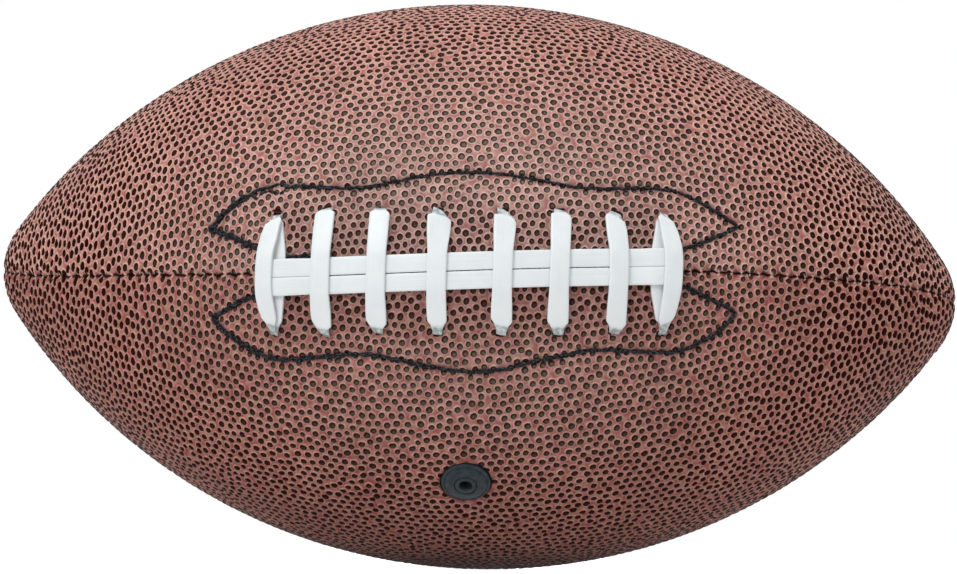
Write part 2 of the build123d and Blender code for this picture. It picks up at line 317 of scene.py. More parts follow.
def sweep(path: np.ndarray, up: np.ndarray, half_width: np.ndarray, half_thick: np.ndarray,
          columns: int, squareness: float) -> Surface:
    """Carries a rounded section along a path.

    The section is a superellipse: the sine and cosine of the angle round it, each raised to
    2 / squareness, times the half sizes. It stands square to the path, its height along up.

    Args:
        path: Points of the path.
        up: Direction of the section's height at each point.
        half_width: Half the section's width at each point.
        half_thick: Half its height at each point.
        columns: Points round the section.
        squareness: 2 is an ellipse and more is squarer.

    Returns:
        A closed surface whose UV is distance along and across, in millimetres.
    """
    tangent = unit(np.gradient(path, axis=0))
    up = unit(up - tangent * np.sum(up * tangent, axis=1, keepdims=True))
    side = np.cross(up, tangent)
    angle = np.linspace(0.0, 2 * math.pi, columns, endpoint=False)
    wide, high = (np.sign(v) * np.abs(v) ** (2 / squareness) for v in (np.cos(angle), np.sin(angle)))
    across, above = half_width[:, None] * wide, half_thick[:, None] * high
    ring = path[:, None, :] + across[..., None] * side[:, None, :] + above[..., None] * up[:, None, :]
    points = np.concatenate([ring.reshape(-1, 3), ring[[0, -1]].mean(axis=1)])
    run = distance_along(path)
    flat = np.stack([np.append(np.repeat(run, columns), run[[0, -1]]),
                     np.append(across.ravel(), [0.0, 0.0])], axis=1)
    faces = tube(len(path), columns)
    return Surface(points, faces, np.concatenate([flat[f.ravel()] for f in faces]))


@dataclass(frozen=True)
class BallShape:
    """The ball's outer surface: a belly arc and two tip arcs, turned about the X axis.

    A place on it is given by s, the distance along a meridian from the middle, and phi, the angle
    about the X axis from the lace seam upwards. The seams of a sewn ball run slightly askew, which
    a small twist about the X axis gives to everything on it.
    """

    half_length: float
    radius: float
    tip_radius: float = 21.8
    twist: float = math.radians(0.035)  # per millimetre along X
    tip_twist: float = math.radians(0.0018)  # per square millimetre beyond its start
    tip_twist_start: float = 92.0

    @property
    def tip_x(self) -> float:
        """Distance of a tip arc's centre from the middle."""
        return self.half_length - self.tip_radius

    @property
    def belly_radius(self) -> float:
        """Radius of the belly arc, which meets both tip arcs without a corner."""
        rise = self.tip_x ** 2 + self.radius ** 2 - self.tip_radius ** 2
        return rise / (2 * (self.radius - self.tip_radius))

    @property
    def tip_angle(self) -> float:
        """Angle of a tip arc, from the X axis to where it meets the belly."""
        return math.atan2(self.belly_radius - self.radius, self.tip_x)

    @property
    def belly_arc(self) -> float:
        """Length of the belly arc from the middle to a tip arc."""
        return self.belly_radius * (math.pi / 2 - self.tip_angle)

    @property
    def quarter_arc(self) -> float:
        """Length of a meridian from the middle to a point of the ball."""
        return self.belly_arc + self.tip_radius * self.tip_angle

    def meridian(self, s: np.ndarray) -> tuple[np.ndarray, np.ndarray, np.ndarray, np.ndarray]:
        """Follows a meridian.

        On either arc a point lies the arc's radius times the sine and cosine of its angle from the
        arc's centre, and the angle is distance over radius.

        Args:
            s: Distance from the middle.

        Returns:
            Distance along X, distance from the X axis, and the outward normal's two parts.
        """
        s = np.asarray(s, dtype=float)
        reach = np.abs(s)
        belly = np.minimum(reach, self.belly_arc) / self.belly_radius
        tip = self.tip_angle - np.maximum(reach - self.belly_arc, 0.0) / self.tip_radius
        on_belly = reach <= self.belly_arc
        along = np.where(on_belly, np.sin(belly), np.cos(tip))
        out = np.where(on_belly, np.cos(belly), np.sin(tip))
        offset = self.belly_radius - self.radius
        x = np.where(on_belly, self.belly_radius * along, self.tip_x + self.tip_radius * along)
        r = np.where(on_belly, self.belly_radius * out - offset, self.tip_radius * out)
        return x * np.sign(s), r, along * np.sign(s), out

    def place(self, s: np.ndarray, phi: np.ndarray, lift: np.ndarray) -> np.ndarray:
        """Puts points on the ball.

        Each lies lift along the normal from its meridian's point, turned about the X axis by phi and
        the twist, which goes with x and, near the tips, with the square of the distance past its start.

        Args:
            s: Distance along the meridian.
            phi: Angle from the lace seam.
            lift: Height above the surface.

        Returns:
            Points as rows of x, y and z.
        """
        x, r, along, out = self.meridian(s)
        past = np.maximum(np.abs(x) - self.tip_twist_start, 0.0)
        turn = phi + self.twist * x + self.tip_twist * np.sign(x) * past ** 2
        radius = r + lift * out
        return np.stack([x + lift * along, -radius * np.cos(turn), radius * np.sin(turn)], axis=-1)

    def from_seam(self, chart: np.ndarray) -> np.ndarray:
        """Puts points on the ball from rows of distance along the lace seam, across it and height."""
        s, q, lift = chart.T
        return self.place(s, q / self.meridian(s)[1], lift)


# Finishes

PUCKER_PITCH = 3.7  # millimetres from one pucker of a sewn seam to the next
PUCKER_DRIFT = 0.31  # radians for each millimetre, of a slow wave that makes puckers uneven
PUCKER_SWAY = 2.0  # radians by which it moves them
NO_PEBBLE = 9.0  # pattern map of bare places, further out than any pebble reaches


@dataclass(frozen=True)
class Coat:
    """How a surface's fine relief, roughness and shine show."""

    bump: float
    bump_mm: float
    roughness: float
    shine: float = 0.5

    def on(self, tree: Any, shader: Any, colour: Any, height: Any) -> None:
        """Fills the inputs of a surface shader.

        Args:
            tree: Node tree of the material.
            shader: Its surface shader.
            colour: Socket that gives the colour.
            height: Node that gives the relief.
        """
        bump = add(tree, "Bump", None, {
            "Strength": self.bump, "Distance": self.bump_mm * MM, "Height": height})
        fill(tree, shader, {"Base Color": colour, "Normal": bump, "Roughness": self.roughness,
                            "Specular IOR Level": self.shine})


@dataclass(frozen=True)
class PebbledLeather:
    """Dyed cowhide, hot-embossed with pebbles.

    The pebble tops are burnished near black, with a painted grey highlight round the front of the belly,
    off the middle of each pebble; the hide between them is a dull reddish tan with a painted highlight
    on the pebbles' shoulders, painted shadow in the sewn seams and puckers, painted highlights on the
    pucker crests, and painted shade between the laces and in dents. Each panel also carries painted
    shading, which makes the upper front paler and the lower front darker and redder.
    """

    valley: str = "#905e58"
    # painted highlight on the pebbles' shoulders
    shoulder: str = "#dcb8ae"
    pebble: str = "#2b0a04"
    # painted grey highlight on the pebble tops round the front
    top_highlight: str = "#7a6e63"
    # painted shadow in the sewn seams and their puckers
    seam: str = "#1c0805"
    # painted highlight on the pucker crests
    crest_highlight: str = "#e6bdb0"
    fleck_mm: float = 1.1
    blotch_mm: float = 22.0
    grain_mm: float = 0.4
    mottle_mm: float = 1.8
    warmth_mm: float = 2.6
    ragged: float = 0.36  # millimetres by which flecks eat into a disc
    uneven: float = 0.14  # millimetres by which discs differ
    fuller: Ramp = Ramp(0.07, 0.125, 0.24, 0.34)  # growth of discs from the middle to the tips
    disc: Ramp = Ramp(0.86, 1.1, 1.0, 0.0)  # burnish, by millimetres from a pebble's middle
    slope: Ramp = Ramp(1.0, 1.62)  # fall to the valley
    flank: Ramp = Ramp(0.9, 1.42, 1.0, 0.0)  # height in the bump
    belly_shape: tuple[float, float, float] = (1.0, 0.0, 1.45)
    belly: Ramp = Ramp(0.03, 0.115, 1.0, 0.0)  # spread of the painted highlight round the front, by metres from the middle
    # centre of the painted highlight on each pebble, off its middle in millimetres, so one side stays dark
    sheen_offset: tuple[float, float, float] = (0.14, -0.24, 0.0)
    # fall of the painted highlight with distance from that centre
    sheen_falloff: Ramp = Ramp(0.2, 0.95, 1.0, 0.12)
    shade_hides_sheen: float = 3.8  # how fast painted shade covers the painted highlight
    patches: Ramp = Ramp(0.35, 0.65, -0.14, 0.22)
    # share of the valley colour that painted panel shading adds
    shading_depth: float = 0.28
    paling: Ramp = Ramp(0.0, 1.0, 0.68, 0.46)  # of the painted shoulder highlight, by painted panel shading
    blotches: Ramp = Ramp(0.3, 0.7, 0.9, 1.1)
    brightness: Ramp = Ramp(0.0, 1.0, 1.06, 0.99)  # by painted panel shading
    saturation: Ramp = Ramp(0.0, 1.0, 1.24, 1.27)  # by painted panel shading
    # the painted highlight also greys the hide
    sheen_fades: float = 0.23
    hues: Ramp = Ramp(0.35, 0.65, 0.489, 0.508)
    tick: Ramp = Ramp(0.62, 0.97)  # painted shadow in the puckers' troughs
    tick_reach: Ramp = Ramp(0.4, 1.5, 0.7, 0.0)
    fold_width: Ramp = Ramp(-1.0, 0.6, 0.4, 0.85)  # millimetres of shadow, from crest to pucker
    fold_start: float = 0.02
    crest: Ramp = Ramp(-0.99, -0.78, 0.75, 0.0)  # painted highlights on the crests between the puckers
    crest_reach: Ramp = Ramp(0.2, 1.2, 1.0, 0.0)
    grain_share: float = 0.2
    bump: float = 0.9
    bump_mm: float = 0.2
    roughness: Ramp = Ramp(0.0, 1.0, 0.58, 0.4)  # of hide and burnished top
    shine: Ramp = Ramp(0.0, 1.0, 0.06, 0.012)

    def material(self) -> Any:
        """Builds the material; the pattern map holds each pebble's own millimetres.

        Returns:
            The material.
        """
        material, tree, shader = blank_material("pebbled_leather")
        place = add(tree, "TexCoord").outputs["Object"]
        local = add(tree, "UVMap", {"uv_map": "pattern"})
        tone, sheen, dye, gap, run, painted_shade = (
            add(tree, "Attribute", {"attribute_name": name}).outputs["Fac"]
            for name in ("pebble_tone", "panel_sheen", "panel_shading", "seam_gap", "seam_run", "painted_shade"))
        fleck, blotch, grain, mottle, warmth = (
            add(tree, "TexNoise", None, {"Vector": place, "Scale": 1 / (size * MM), "Detail": detail})
            for size, detail in ((self.fleck_mm, 2.0), (self.blotch_mm, 3.0), (self.grain_mm, 2.0),
                                 (self.mottle_mm, 2.0), (self.warmth_mm, 1.0)))
        # Pebble tops, by distance from each pebble's middle, with a painted grey highlight round the front of
        # the belly
        reach = add(tree, "VectorMath", LENGTH, {0: local}).outputs["Value"]
        reach = add(tree, "Math", TIMES_PLUS, {0: fleck, 1: self.ragged, 2: reach})
        reach = add(tree, "Math", TIMES_PLUS, {0: tone, 1: self.uneven, 2: reach})
        middle = add(tree, "Math", {"operation": "ABSOLUTE"}, {0: add(tree, "SeparateXYZ", None, {0: place})})
        fuller = add(tree, "MapRange", SMOOTH, self.fuller.of(middle))
        reach = add(tree, "Math", LESS, {0: reach, 1: fuller})
        dark = add(tree, "MapRange", SMOOTH, self.disc.of(reach))
        belly = add(tree, "VectorMath", TIMES, {0: place, 1: self.belly_shape})
        belly = add(tree, "VectorMath", LENGTH, {0: belly}).outputs["Value"]
        front_sheen = add(tree, "MapRange", SMOOTH, {**self.belly.of(belly), "To Min": sheen})
        aside = add(tree, "VectorMath", LESS, {0: local, 1: self.sheen_offset})
        aside = add(tree, "VectorMath", LENGTH, {0: aside}).outputs["Value"]
        pale = add(tree, "MapRange", SMOOTH, self.sheen_falloff.of(aside))
        # painted shade hides the painted highlight
        unshaded_top = add(tree, "Math", TIMES_PLUS | CLAMPED, {0: painted_shade, 1: -self.shade_hides_sheen, 2: 1.0})
        for share in (front_sheen, unshaded_top):
            pale = add(tree, "Math", TIMES, {0: pale, 1: share})
        top = add(tree, "Mix", COLOURS, {0: pale, 6: linear(self.pebble), 7: linear(self.top_highlight)}).outputs[2]
        # Hide between the pebbles, with a painted highlight on the shoulders and painted shade from each
        # panel, the laces and the dents
        low = add(tree, "MapRange", SMOOTH, self.slope.of(reach))
        patchy = add(tree, "MapRange", None, self.patches.of(mottle))
        patchy = add(tree, "Math", TIMES_PLUS, {0: dye, 1: self.shading_depth, 2: patchy})
        paling = add(tree, "MapRange", None, self.paling.of(dye))
        deep = add(tree, "Math", TIMES_PLUS | CLAMPED, {0: low, 1: paling, 2: patchy})
        hide = add(tree, "Mix", COLOURS, {
            0: deep, 6: linear(self.shoulder), 7: linear(self.valley)}).outputs[2]
        level = add(tree, "MapRange", None, self.blotches.of(blotch))
        shaded_level = add(tree, "MapRange", None, self.brightness.of(dye))
        # painted shade darkens the hide
        unshaded = add(tree, "Math", LESS, {0: 1.0, 1: painted_shade})
        for share in (shaded_level, unshaded):
            level = add(tree, "Math", TIMES, {0: level, 1: share})
        strong = add(tree, "MapRange", None, self.saturation.of(dye))
        strong = add(tree, "Math", TIMES_PLUS, {0: front_sheen, 1: -self.sheen_fades, 2: strong})
        hue = add(tree, "MapRange", None, self.hues.of(warmth))
        hide = add(tree, "HueSaturation", None, {
            "Hue": hue, "Saturation": strong, "Value": level, "Color": hide})
        cover = add(tree, "Mix", COLOURS, {0: dark, 6: hide, 7: top}).outputs[2]
        # Painted shadow and painted highlights along the sewn seams
        drift = add(tree, "Math", TIMES, {0: run, 1: PUCKER_DRIFT})
        drift = add(tree, "Math", {"operation": "SINE"}, {0: drift})
        drift = add(tree, "Math", TIMES_PLUS, {0: drift, 1: PUCKER_SWAY, 2: mottle})
        phase = add(tree, "Math", TIMES_PLUS, {0: run, 1: 2 * math.pi / PUCKER_PITCH, 2: drift})
        wave = add(tree, "Math", {"operation": "COSINE"}, {0: phase})
        tick = add(tree, "MapRange", SMOOTH, self.tick.of(wave))
        near = add(tree, "MapRange", SMOOTH, self.tick_reach.of(gap))
        pucker = add(tree, "Math", TIMES, {0: tick, 1: near})
        width = add(tree, "MapRange", None, self.fold_width.of(wave))
        fold = add(tree, "MapRange", SMOOTH, {
            "Value": gap, "From Min": self.fold_start, "From Max": width, "To Min": 1.0, "To Max": 0.0})
        shade = add(tree, "Math", {"operation": "MAXIMUM"}, {0: pucker, 1: fold})
        cover = add(tree, "Mix", COLOURS, {0: shade, 6: cover, 7: linear(self.seam)}).outputs[2]
        crest = add(tree, "MapRange", SMOOTH, self.crest.of(wave))
        beside = add(tree, "MapRange", SMOOTH, self.crest_reach.of(gap))
        crest = add(tree, "Math", TIMES, {0: crest, 1: beside})
        cover = add(tree, "Mix", COLOURS, {0: crest, 6: cover, 7: linear(self.crest_highlight)}).outputs[2]
        # Relief and shine
        flank = add(tree, "MapRange", SMOOTH, self.flank.of(reach))
        raised = add(tree, "Math", TIMES_PLUS, {0: grain, 1: self.grain_share, 2: flank})
        bump = add(tree, "Bump", None, {
            "Strength": self.bump, "Distance": self.bump_mm * MM, "Height": raised})
        rough = add(tree, "MapRange", None, self.roughness.of(dark))
        shine = add(tree, "MapRange", None, self.shine.of(dark))
        fill(tree, shader, {
            "Base Color": cover, "Normal": bump, "Roughness": rough, "Specular IOR Level": shine})
        return material


@dataclass(frozen=True)
class VinylLace:
    """Soft white PVC strip, extruded and cut: satin, with faint drawn lines along it and painted shade on its
    tucked ends.
    """

    face: str = "#eaeff0"
    shade: str = "#e3e9eb"
    # painted shade on the ends that go down into the holes
    tucked_shade: str = "#96a1a1"
    line_mm: float = 0.5
    run_mm: float = 40.0
    cloud_mm: float = 4.545
    crease_mm: float = 1.3
    lined: Ramp = Ramp(0.15, 0.4)
    creased: Ramp = Ramp(0.38, 0.6, 0.35, 1.0)
    coat: Coat = Coat(bump=0.06, bump_mm=0.1, roughness=0.42, shine=0.45)

    def material(self) -> Any:
        """Builds the material; the pattern map is along and across the strip in millimetres.

        Returns:
            The material.
        """
        material, tree, shader = blank_material("vinyl_lace")
        place = add(tree, "TexCoord").outputs["Object"]
        tuck_shade = add(tree, "Attribute", {"attribute_name": "tuck_shade"}).outputs["Fac"]
        local = add(tree, "UVMap", {"uv_map": "pattern"})
        drawn = add(tree, "Mapping", None, {
            "Vector": local, "Scale": (1 / self.run_mm, 1 / self.line_mm, 1.0)})
        lines = add(tree, "TexNoise", None, {"Vector": drawn, "Scale": 1.0, "Detail": 3.0})
        cloud, crease = (
            add(tree, "TexNoise", None, {"Vector": place, "Scale": 1 / (size * MM), "Detail": 2.0})
            for size in (self.cloud_mm, self.crease_mm))
        blend = add(tree, "Math", TIMES, {0: lines, 1: cloud})
        share = add(tree, "MapRange", None, self.lined.of(blend))
        strip = add(tree, "Mix", COLOURS, {0: share, 6: linear(self.face), 7: linear(self.shade)}).outputs[2]
        creased = add(tree, "MapRange", None, self.creased.of(crease))
        # Painted shade on the tucked ends, in patches
        ends = add(tree, "Math", TIMES, {0: tuck_shade, 1: creased})
        colour = add(tree, "Mix", COLOURS, {0: ends, 6: strip, 7: linear(self.tucked_shade)}).outputs[2]
        self.coat.on(tree, shader, colour, lines)
        return material


@dataclass(frozen=True)
class Thread:
    """Waxed, twisted thread: dark and dull, with paler specks of painted highlight on its fibres."""

    name: str
    core: str
    # painted highlights on the fibres
    fibre: str
    fibre_mm: float = 0.25
    highlights: Ramp = Ramp(0.45, 0.68)
    coat: Coat = Coat(bump=0.9, bump_mm=0.12, roughness=0.55, shine=0.08)

    def material(self) -> Any:
        """Builds the material on object coordinates.

        Returns:
            The material.
        """
        material, tree, shader = blank_material(self.name)
        place = add(tree, "TexCoord").outputs["Object"]
        fuzz = add(tree, "TexNoise", None, {
            "Vector": place, "Scale": 1 / (self.fibre_mm * MM), "Detail": 3.0})
        share = add(tree, "MapRange", None, self.highlights.of(fuzz))
        colour = add(tree, "Mix", COLOURS, {0: share, 6: linear(self.core), 7: linear(self.fibre)}).outputs[2]
        self.coat.on(tree, shader, colour, fuzz)
        return material


@dataclass(frozen=True)
class MouldedRubber:
    """Butyl rubber from a mould: near black, with a dusty bloom in patches and a fine grain."""

    name: str
    body: str
    bloom: str
    patch_mm: float = 3.0
    grain_mm: float = 0.3
    dusty: Ramp = Ramp(0.35, 0.7)
    coat: Coat = Coat(bump=0.2, bump_mm=0.05, roughness=0.5, shine=0.2)

    def material(self) -> Any:
        """Builds the material on object coordinates.

        Returns:
            The material.
        """
        material, tree, shader = blank_material(self.name)
        place = add(tree, "TexCoord").outputs["Object"]
        dust, grain = (
            add(tree, "TexNoise", None, {"Vector": place, "Scale": 1 / (size * MM), "Detail": detail})
            for size, detail in ((self.patch_mm, 4.0), (self.grain_mm, 2.0)))
        share = add(tree, "MapRange", None, self.dusty.of(dust))
        colour = add(tree, "Mix", COLOURS, {0: share, 6: linear(self.body), 7: linear(self.bloom)}).outputs[2]
        self.coat.on(tree, shader, colour, grain)
        return material


@dataclass(frozen=True)
class WovenCloth:
    """Plain-woven cotton: two sets of threads at right angles, matt, with uneven yarn."""

    name: str
    warp: str
    gap: str
    thread_mm: float = 0.9
    bands: float = 3.2  # of a wave texture, in each unit of its scale
    coat: Coat = Coat(bump=0.5, bump_mm=0.2, roughness=0.85)

    def material(self) -> Any:
        """Builds the material on object coordinates; the weave is drawn coarse enough to show.

        Returns:
            The material.
        """
        material, tree, shader = blank_material(self.name)
        place = add(tree, "TexCoord").outputs["Object"]
        pitch = 1 / (self.thread_mm * MM) / self.bands
        warp, weft = (
            add(tree, "TexWave", {"bands_direction": axis}, {
                "Vector": place, "Scale": pitch, "Distortion": 1.0, "Detail": 1.0}).outputs["Fac"]
            for axis in "XZ")
        weave = add(tree, "Math", TIMES, {0: warp, 1: weft})
        colour = add(tree, "Mix", COLOURS, {0: weave, 6: linear(self.gap), 7: linear(self.warp)}).outputs[2]
        self.coat.on(tree, shader, colour, weave)
        return material


def seen(tree: Any) -> Any:
    """Adds nodes that give 1 to what the camera sees, directly or by reflection.

    Args:
        tree: Node tree that takes them.

    Returns:
        The last node.
    """
    path = add(tree, "LightPath")
    total = path.outputs["Is Camera Ray"]
    for ray in ("Is Glossy Ray", "Is Transmission Ray"):
        total = add(tree, "Math", {"operation": "ADD"} | CLAMPED, {0: total, 1: path.outputs[ray]})
    return total


@dataclass(frozen=True)
class WhitePaper:
    """Matt white paper under the ball: as white to the eye as the backdrop, but for the ball's shadow."""

    light: str = "#dedede"
    dark: str = "#d8d8d8"
    bounce: str = "#eaeaea"  # what it throws back at the ball
    glow: float = 0.93
    fibre_mm: float = 25.0

    def material(self) -> Any:
        """Builds the material on object coordinates; its glow is seen but casts no light.

        Returns:
            The material.
        """
        material = bpy.data.materials.new("white_paper")
        material.use_nodes = True
        tree = material.node_tree
        tree.nodes.clear()
        place = add(tree, "TexCoord").outputs["Object"]
        fibre = add(tree, "TexNoise", None, {"Vector": place, "Scale": 1 / (self.fibre_mm * MM)})
        paper = add(tree, "Mix", COLOURS, {0: fibre, 6: linear(self.dark), 7: linear(self.light)}).outputs[2]
        matt = add(tree, "BsdfDiffuse", None, {"Color": paper})
        glow = add(tree, "Emission", None, {"Color": linear(WHITE), "Strength": self.glow})
        bright = add(tree, "AddShader", None, {0: matt, 1: glow})
        plain = add(tree, "BsdfDiffuse", None, {"Color": linear(self.bounce)})
        mix = add(tree, "MixShader", None, {0: seen(tree), 1: plain, 2: bright})
        add(tree, "OutputMaterial", None, {"Surface": mix})
        return material


# Lace and stitch layout, as distances along and across the lace seam

UPPER_HOLES = ((-57.6, 17.7), (-42.3, 18.3), (-26.8, 18.0), (-10.1, 17.4), (7.9, 17.2), (24.1, 16.9),
               (40.3, 16.2), (54.5, 16.0))
LOWER_HOLES = ((-56.8, -17.3), (-41.3, -17.8), (-26.1, -17.2), (-9.1, -17.9), (8.9, -18.2), (25.1, -18.3),
               (41.2, -17.9), (55.5, -17.9))
UPPER_STITCHES = ((-45.5, 4.7), (-52.0, 4.5), (-58.0, 5.2), (-63.6, 7.4), (-72.0, 11.0), (-78.2, 13.0),
                  (-78.2, 13.4), (-74.0, 17.8), (-69.4, 21.7), (-62.6, 25.2), (-58.6, 26.0), (-50.9, 25.5),
                  (-41.8, 24.6), (-33.0, 24.4), (-25.8, 25.4), (-18.8, 27.1), (-10.3, 28.4), (-0.3, 28.7),
                  (6.8, 28.1), (18.2, 26.2), (26.8, 24.1), (35.5, 23.5), (47.2, 24.1), (56.8, 23.8),
                  (62.4, 21.9), (68.7, 18.8), (77.7, 13.7), (77.7, 13.3), (69.0, 9.3), (60.7, 6.0),
                  (56.0, 4.2))
LOWER_STITCHES = ((-58.0, -4.0), (-63.9, -6.3), (-70.8, -9.3), (-76.6, -12.5), (-76.6, -12.9), (-70.6, -18.0),
                  (-64.0, -21.9), (-58.2, -24.7), (-49.7, -25.0), (-43.0, -24.2), (-34.9, -23.5),
                  (-27.9, -23.6), (-21.4, -25.0), (-13.5, -27.1), (-5.5, -28.5), (0.5, -29.2), (8.6, -29.0),
                  (18.2, -26.2), (26.3, -24.9), (31.8, -23.2), (39.5, -22.9), (54.2, -23.6), (62.2, -22.9),
                  (66.9, -20.5), (72.3, -17.6), (78.1, -11.6), (78.1, -11.2), (68.0, -7.2), (61.1, -4.3),
                  (57.0, -2.8))
STITCH_SLACK = {Side.UPPER: (1.6, 1.5, 0.75, 0.65, 0.8, 1.0), Side.LOWER: (1.4, 1.3, 1.05, 1.0, 1.0, 1.0)}
CORNER_ROUNDS = 3  # times that the corners of a path are cut
STITCH_STEP = 0.5  # between points of a sewn line
VALVE_PHI = math.radians(-45.0)


def stitch_line(side: Side) -> np.ndarray:
    """Gives the line sewn round one side of the lace, from its left end to its right.

    Args:
        side: Side of the seam.

    Returns:
        Evenly spaced rows of distance along and across the seam.
    """
    line = np.array(UPPER_STITCHES if side is Side.UPPER else LOWER_STITCHES)
    return even_steps(cut_corners(line, CORNER_ROUNDS), STITCH_STEP)[0]


@dataclass(frozen=True)
class Opening:
    """A hole in a panel: an ellipse at a place along and across the lace seam."""

    s: float
    q: float
    half_long: float
    half_wide: float
    dent: float  # depth that its edge is pressed in
    dent_reach: float

    def push(self, s: np.ndarray, q: np.ndarray) -> tuple[np.ndarray, np.ndarray, np.ndarray, np.ndarray]:
        """Moves points inside the ellipse out to its edge.

        A point's offset, in half axes, is divided by its length where that is below 1. The dent
        falls off as exp(-(d / reach)^2) with the distance d from the edge.

        Args:
            s: Distances along the seam.
            q: Distances across it.

        Returns:
            New distances along and across, which points were inside, and the dent at each point.
        """
        along = (s - self.s) / self.half_long
        across = (q - self.q) / self.half_wide
        reach = np.maximum(np.hypot(along, across), 1e-6)
        inside = reach < 1.0
        factor = np.where(inside, 1.0 / reach, 1.0)
        far = (np.maximum(reach, 1.0) - 1.0) * self.half_wide
        dent = self.dent * np.exp(-(far / self.dent_reach) ** 2)
        s, q = self.s + along * factor * self.half_long, self.q + across * factor * self.half_wide
        return s, q, inside, dent


@dataclass(frozen=True)
class Cells:
    """Pebble centres on a flat panel, and the spokes from each centre to the corners of its cell."""

    centre: np.ndarray
    corner: np.ndarray
    owner: np.ndarray  # number of each spoke's centre
    tip: np.ndarray  # number of each spoke's corner
    following: np.ndarray  # number of the next spoke counter-clockwise round the same centre


@dataclass(frozen=True)
class Ring:
    """A ring of points round a pebble's middle."""

    reach: float  # from the middle
    room: float  # most of a spoke that it may take
    height: float  # share of the pebble's height


@dataclass
class LeatherPanel:
    """One of the four panels of the cover, with its pebbles as geometry.

    The pebbles stand evenly but in no order on the panel's flat pattern. Each is a top point, a
    shoulder and a foot with one point on each spoke of its cell, and shares the cell's corners
    with its neighbours. Cells at the rim are squeezed into the seam.
    """

    ball: BallShape
    middle: float  # angle of its middle from the lace seam
    seed: int
    sheen: float  # strength of the painted highlight on its pebble tops round the belly
    dye: float  # painted shading of the whole panel: higher is darker and redder
    openings: Sequence[Opening] = ()
    stitch: Optional[np.ndarray] = None
    spacing: float = 2.89  # mean distance between neighbouring pebbles
    shake: float = 0.42  # of the spacing, before the pebbles push each other apart
    push: float = 0.3
    push_rounds: int = 5
    margin: int = 5  # rows of pebbles beyond the rim
    same_point: float = 1e-6
    pebble_height: float = 0.3
    pebble_sizes: Span = (0.9, 1.08)
    fit: Span = (0.9, 1.06)  # size of pebbles in the tightest and widest cells
    shoulder: Ring = Ring(reach=0.98, room=0.62, height=0.78)
    foot: Ring = Ring(reach=1.28, room=0.84, height=0.14)
    stretch: float = 0.07
    arc_fade: Span = (85.0, 150.0)
    arc_limit: float = 1.1  # of the half width, beyond which cross lines bend no further
    skew_limit: float = 0.7
    pull: Span = (0.24, 0.07)  # at the left and right tip
    pull_reach: Span = (50.0, 125.0)
    pull_steps: int = 500  # of the running sum
    pull_length: float = 1.3  # quarter meridians that it covers
    seam_half_gap: float = 0.09
    seam_depth: float = 0.45
    seam_reach: float = 0.8
    seam_clear: Span = (0.1, 1.2)  # where pebbles rise beside the seam
    seam_bare: float = 0.3
    seam_stray: float = 0.2
    stray_waves: Span = (2.3, 1.1)  # radians for each millimetre
    stray_shift: Span = (3.0, 2.0)  # radians from one seam to another
    stray_fade: Span = (2.0, 12.0)
    pucker_depth: float = 0.3
    pucker_reach: float = 1.6
    pucker_slant: float = 0.8
    pucker_sharpness: int = 3
    tip_fold: float = 0.25  # depth of the folds where the panel is narrow
    fold_fade: Span = (3.0, 16.0)
    stitch_dent: float = 0.35
    stitch_reach: float = 0.9
    stitch_clear: Span = (0.2, 1.0)
    stitch_bare: float = 0.9  # of the dent
    stitch_box: Span = (85.0, 36.0)  # no stitch lies beyond this along or across the seam
    lace_shade: float = 0.2  # painted shade between the laces, as a share of the light lost
    lace_shade_along: Span = (55.0, 61.0)
    lace_shade_across: Span = (11.0, 27.0)
    dent_shade: float = 0.8  # painted shade in dents and on the turned-in rim, as a share of the light lost
    plain_tone: float = 0.5  # of faces that bear no pebble
    tip_gap: float = 0.6
    thickness: float = 2.2
    least_face: float = 1e-5  # twice the area of the smallest face kept

    def limit(self, s: np.ndarray) -> np.ndarray:
        """Half the flat panel's width at a distance along it."""
        return self.ball.meridian(s)[1] * math.pi / 4 - self.seam_half_gap

    def held(self, along: np.ndarray) -> np.ndarray:
        """Keeps distances along the panel short of the ball's points."""
        longest = self.ball.quarter_arc - self.tip_gap
        return np.clip(along, -longest, longest)

    def offset(self, s: np.ndarray) -> np.ndarray:
        """Distance round the ball from the lace seam to the panel's middle line."""
        return self.ball.meridian(s)[1] * self.middle

    def pulled(self, flat: np.ndarray) -> tuple[np.ndarray, np.ndarray, np.ndarray]:
        """Shortens and widens the flat pattern towards the tips, as the leather is pulled round the bladder.

        Lengths along the panel shrink by a share that rises smoothly to pull, so the place along
        is where the running sum of 1 / (1 - share) reaches the flat distance.

        Args:
            flat: Rows of distance along and across the flat panel.

        Returns:
            Distance along the meridian and round the ball, and the share at each point.
        """
        s = np.linspace(0.0, self.pull_length * self.ball.quarter_arc, self.pull_steps)
        halves = []
        for pull in self.pull:
            longer = 1 / (1 - pull * smoothstep(s, *self.pull_reach))
            run = np.concatenate([[0.0], np.cumsum((longer[1:] + longer[:-1]) / 2 * np.diff(s))])
            halves.append(np.interp(np.abs(flat[:, 0]), run, s))
        left = flat[:, 0] < 0
        along = np.where(left, -halves[0], halves[1])
        share = np.where(left, *self.pull) * smoothstep(np.abs(along), *self.pull_reach)
        return along, flat[:, 1] * (1 + share), share

    def lay(self, flat: np.ndarray) -> tuple[np.ndarray, np.ndarray]:
        """Bends the flat pattern's cross lines into arcs, as they lie when a flat panel is pulled round.

        A point w from the panel's middle line moves towards the middle of the ball by w^2 n / 2r,
        where n is the normal's part along X and r the distance from the X axis. Towards the tips,
        where the arcs would cross, this fades out.

        Args:
            flat: Rows of distance along and across the flat panel.

        Returns:
            Distance along the meridian and round the ball.
        """
        along, across, _ = self.pulled(flat)
        inside = self.held(along)
        _, r, lean, _ = self.ball.meridian(inside)
        wide = np.minimum(np.abs(across), self.arc_limit * self.limit(inside))
        share = 1 - smoothstep(np.abs(inside), *self.arc_fade)
        return along - share * wide ** 2 * lean / (2 * r), across

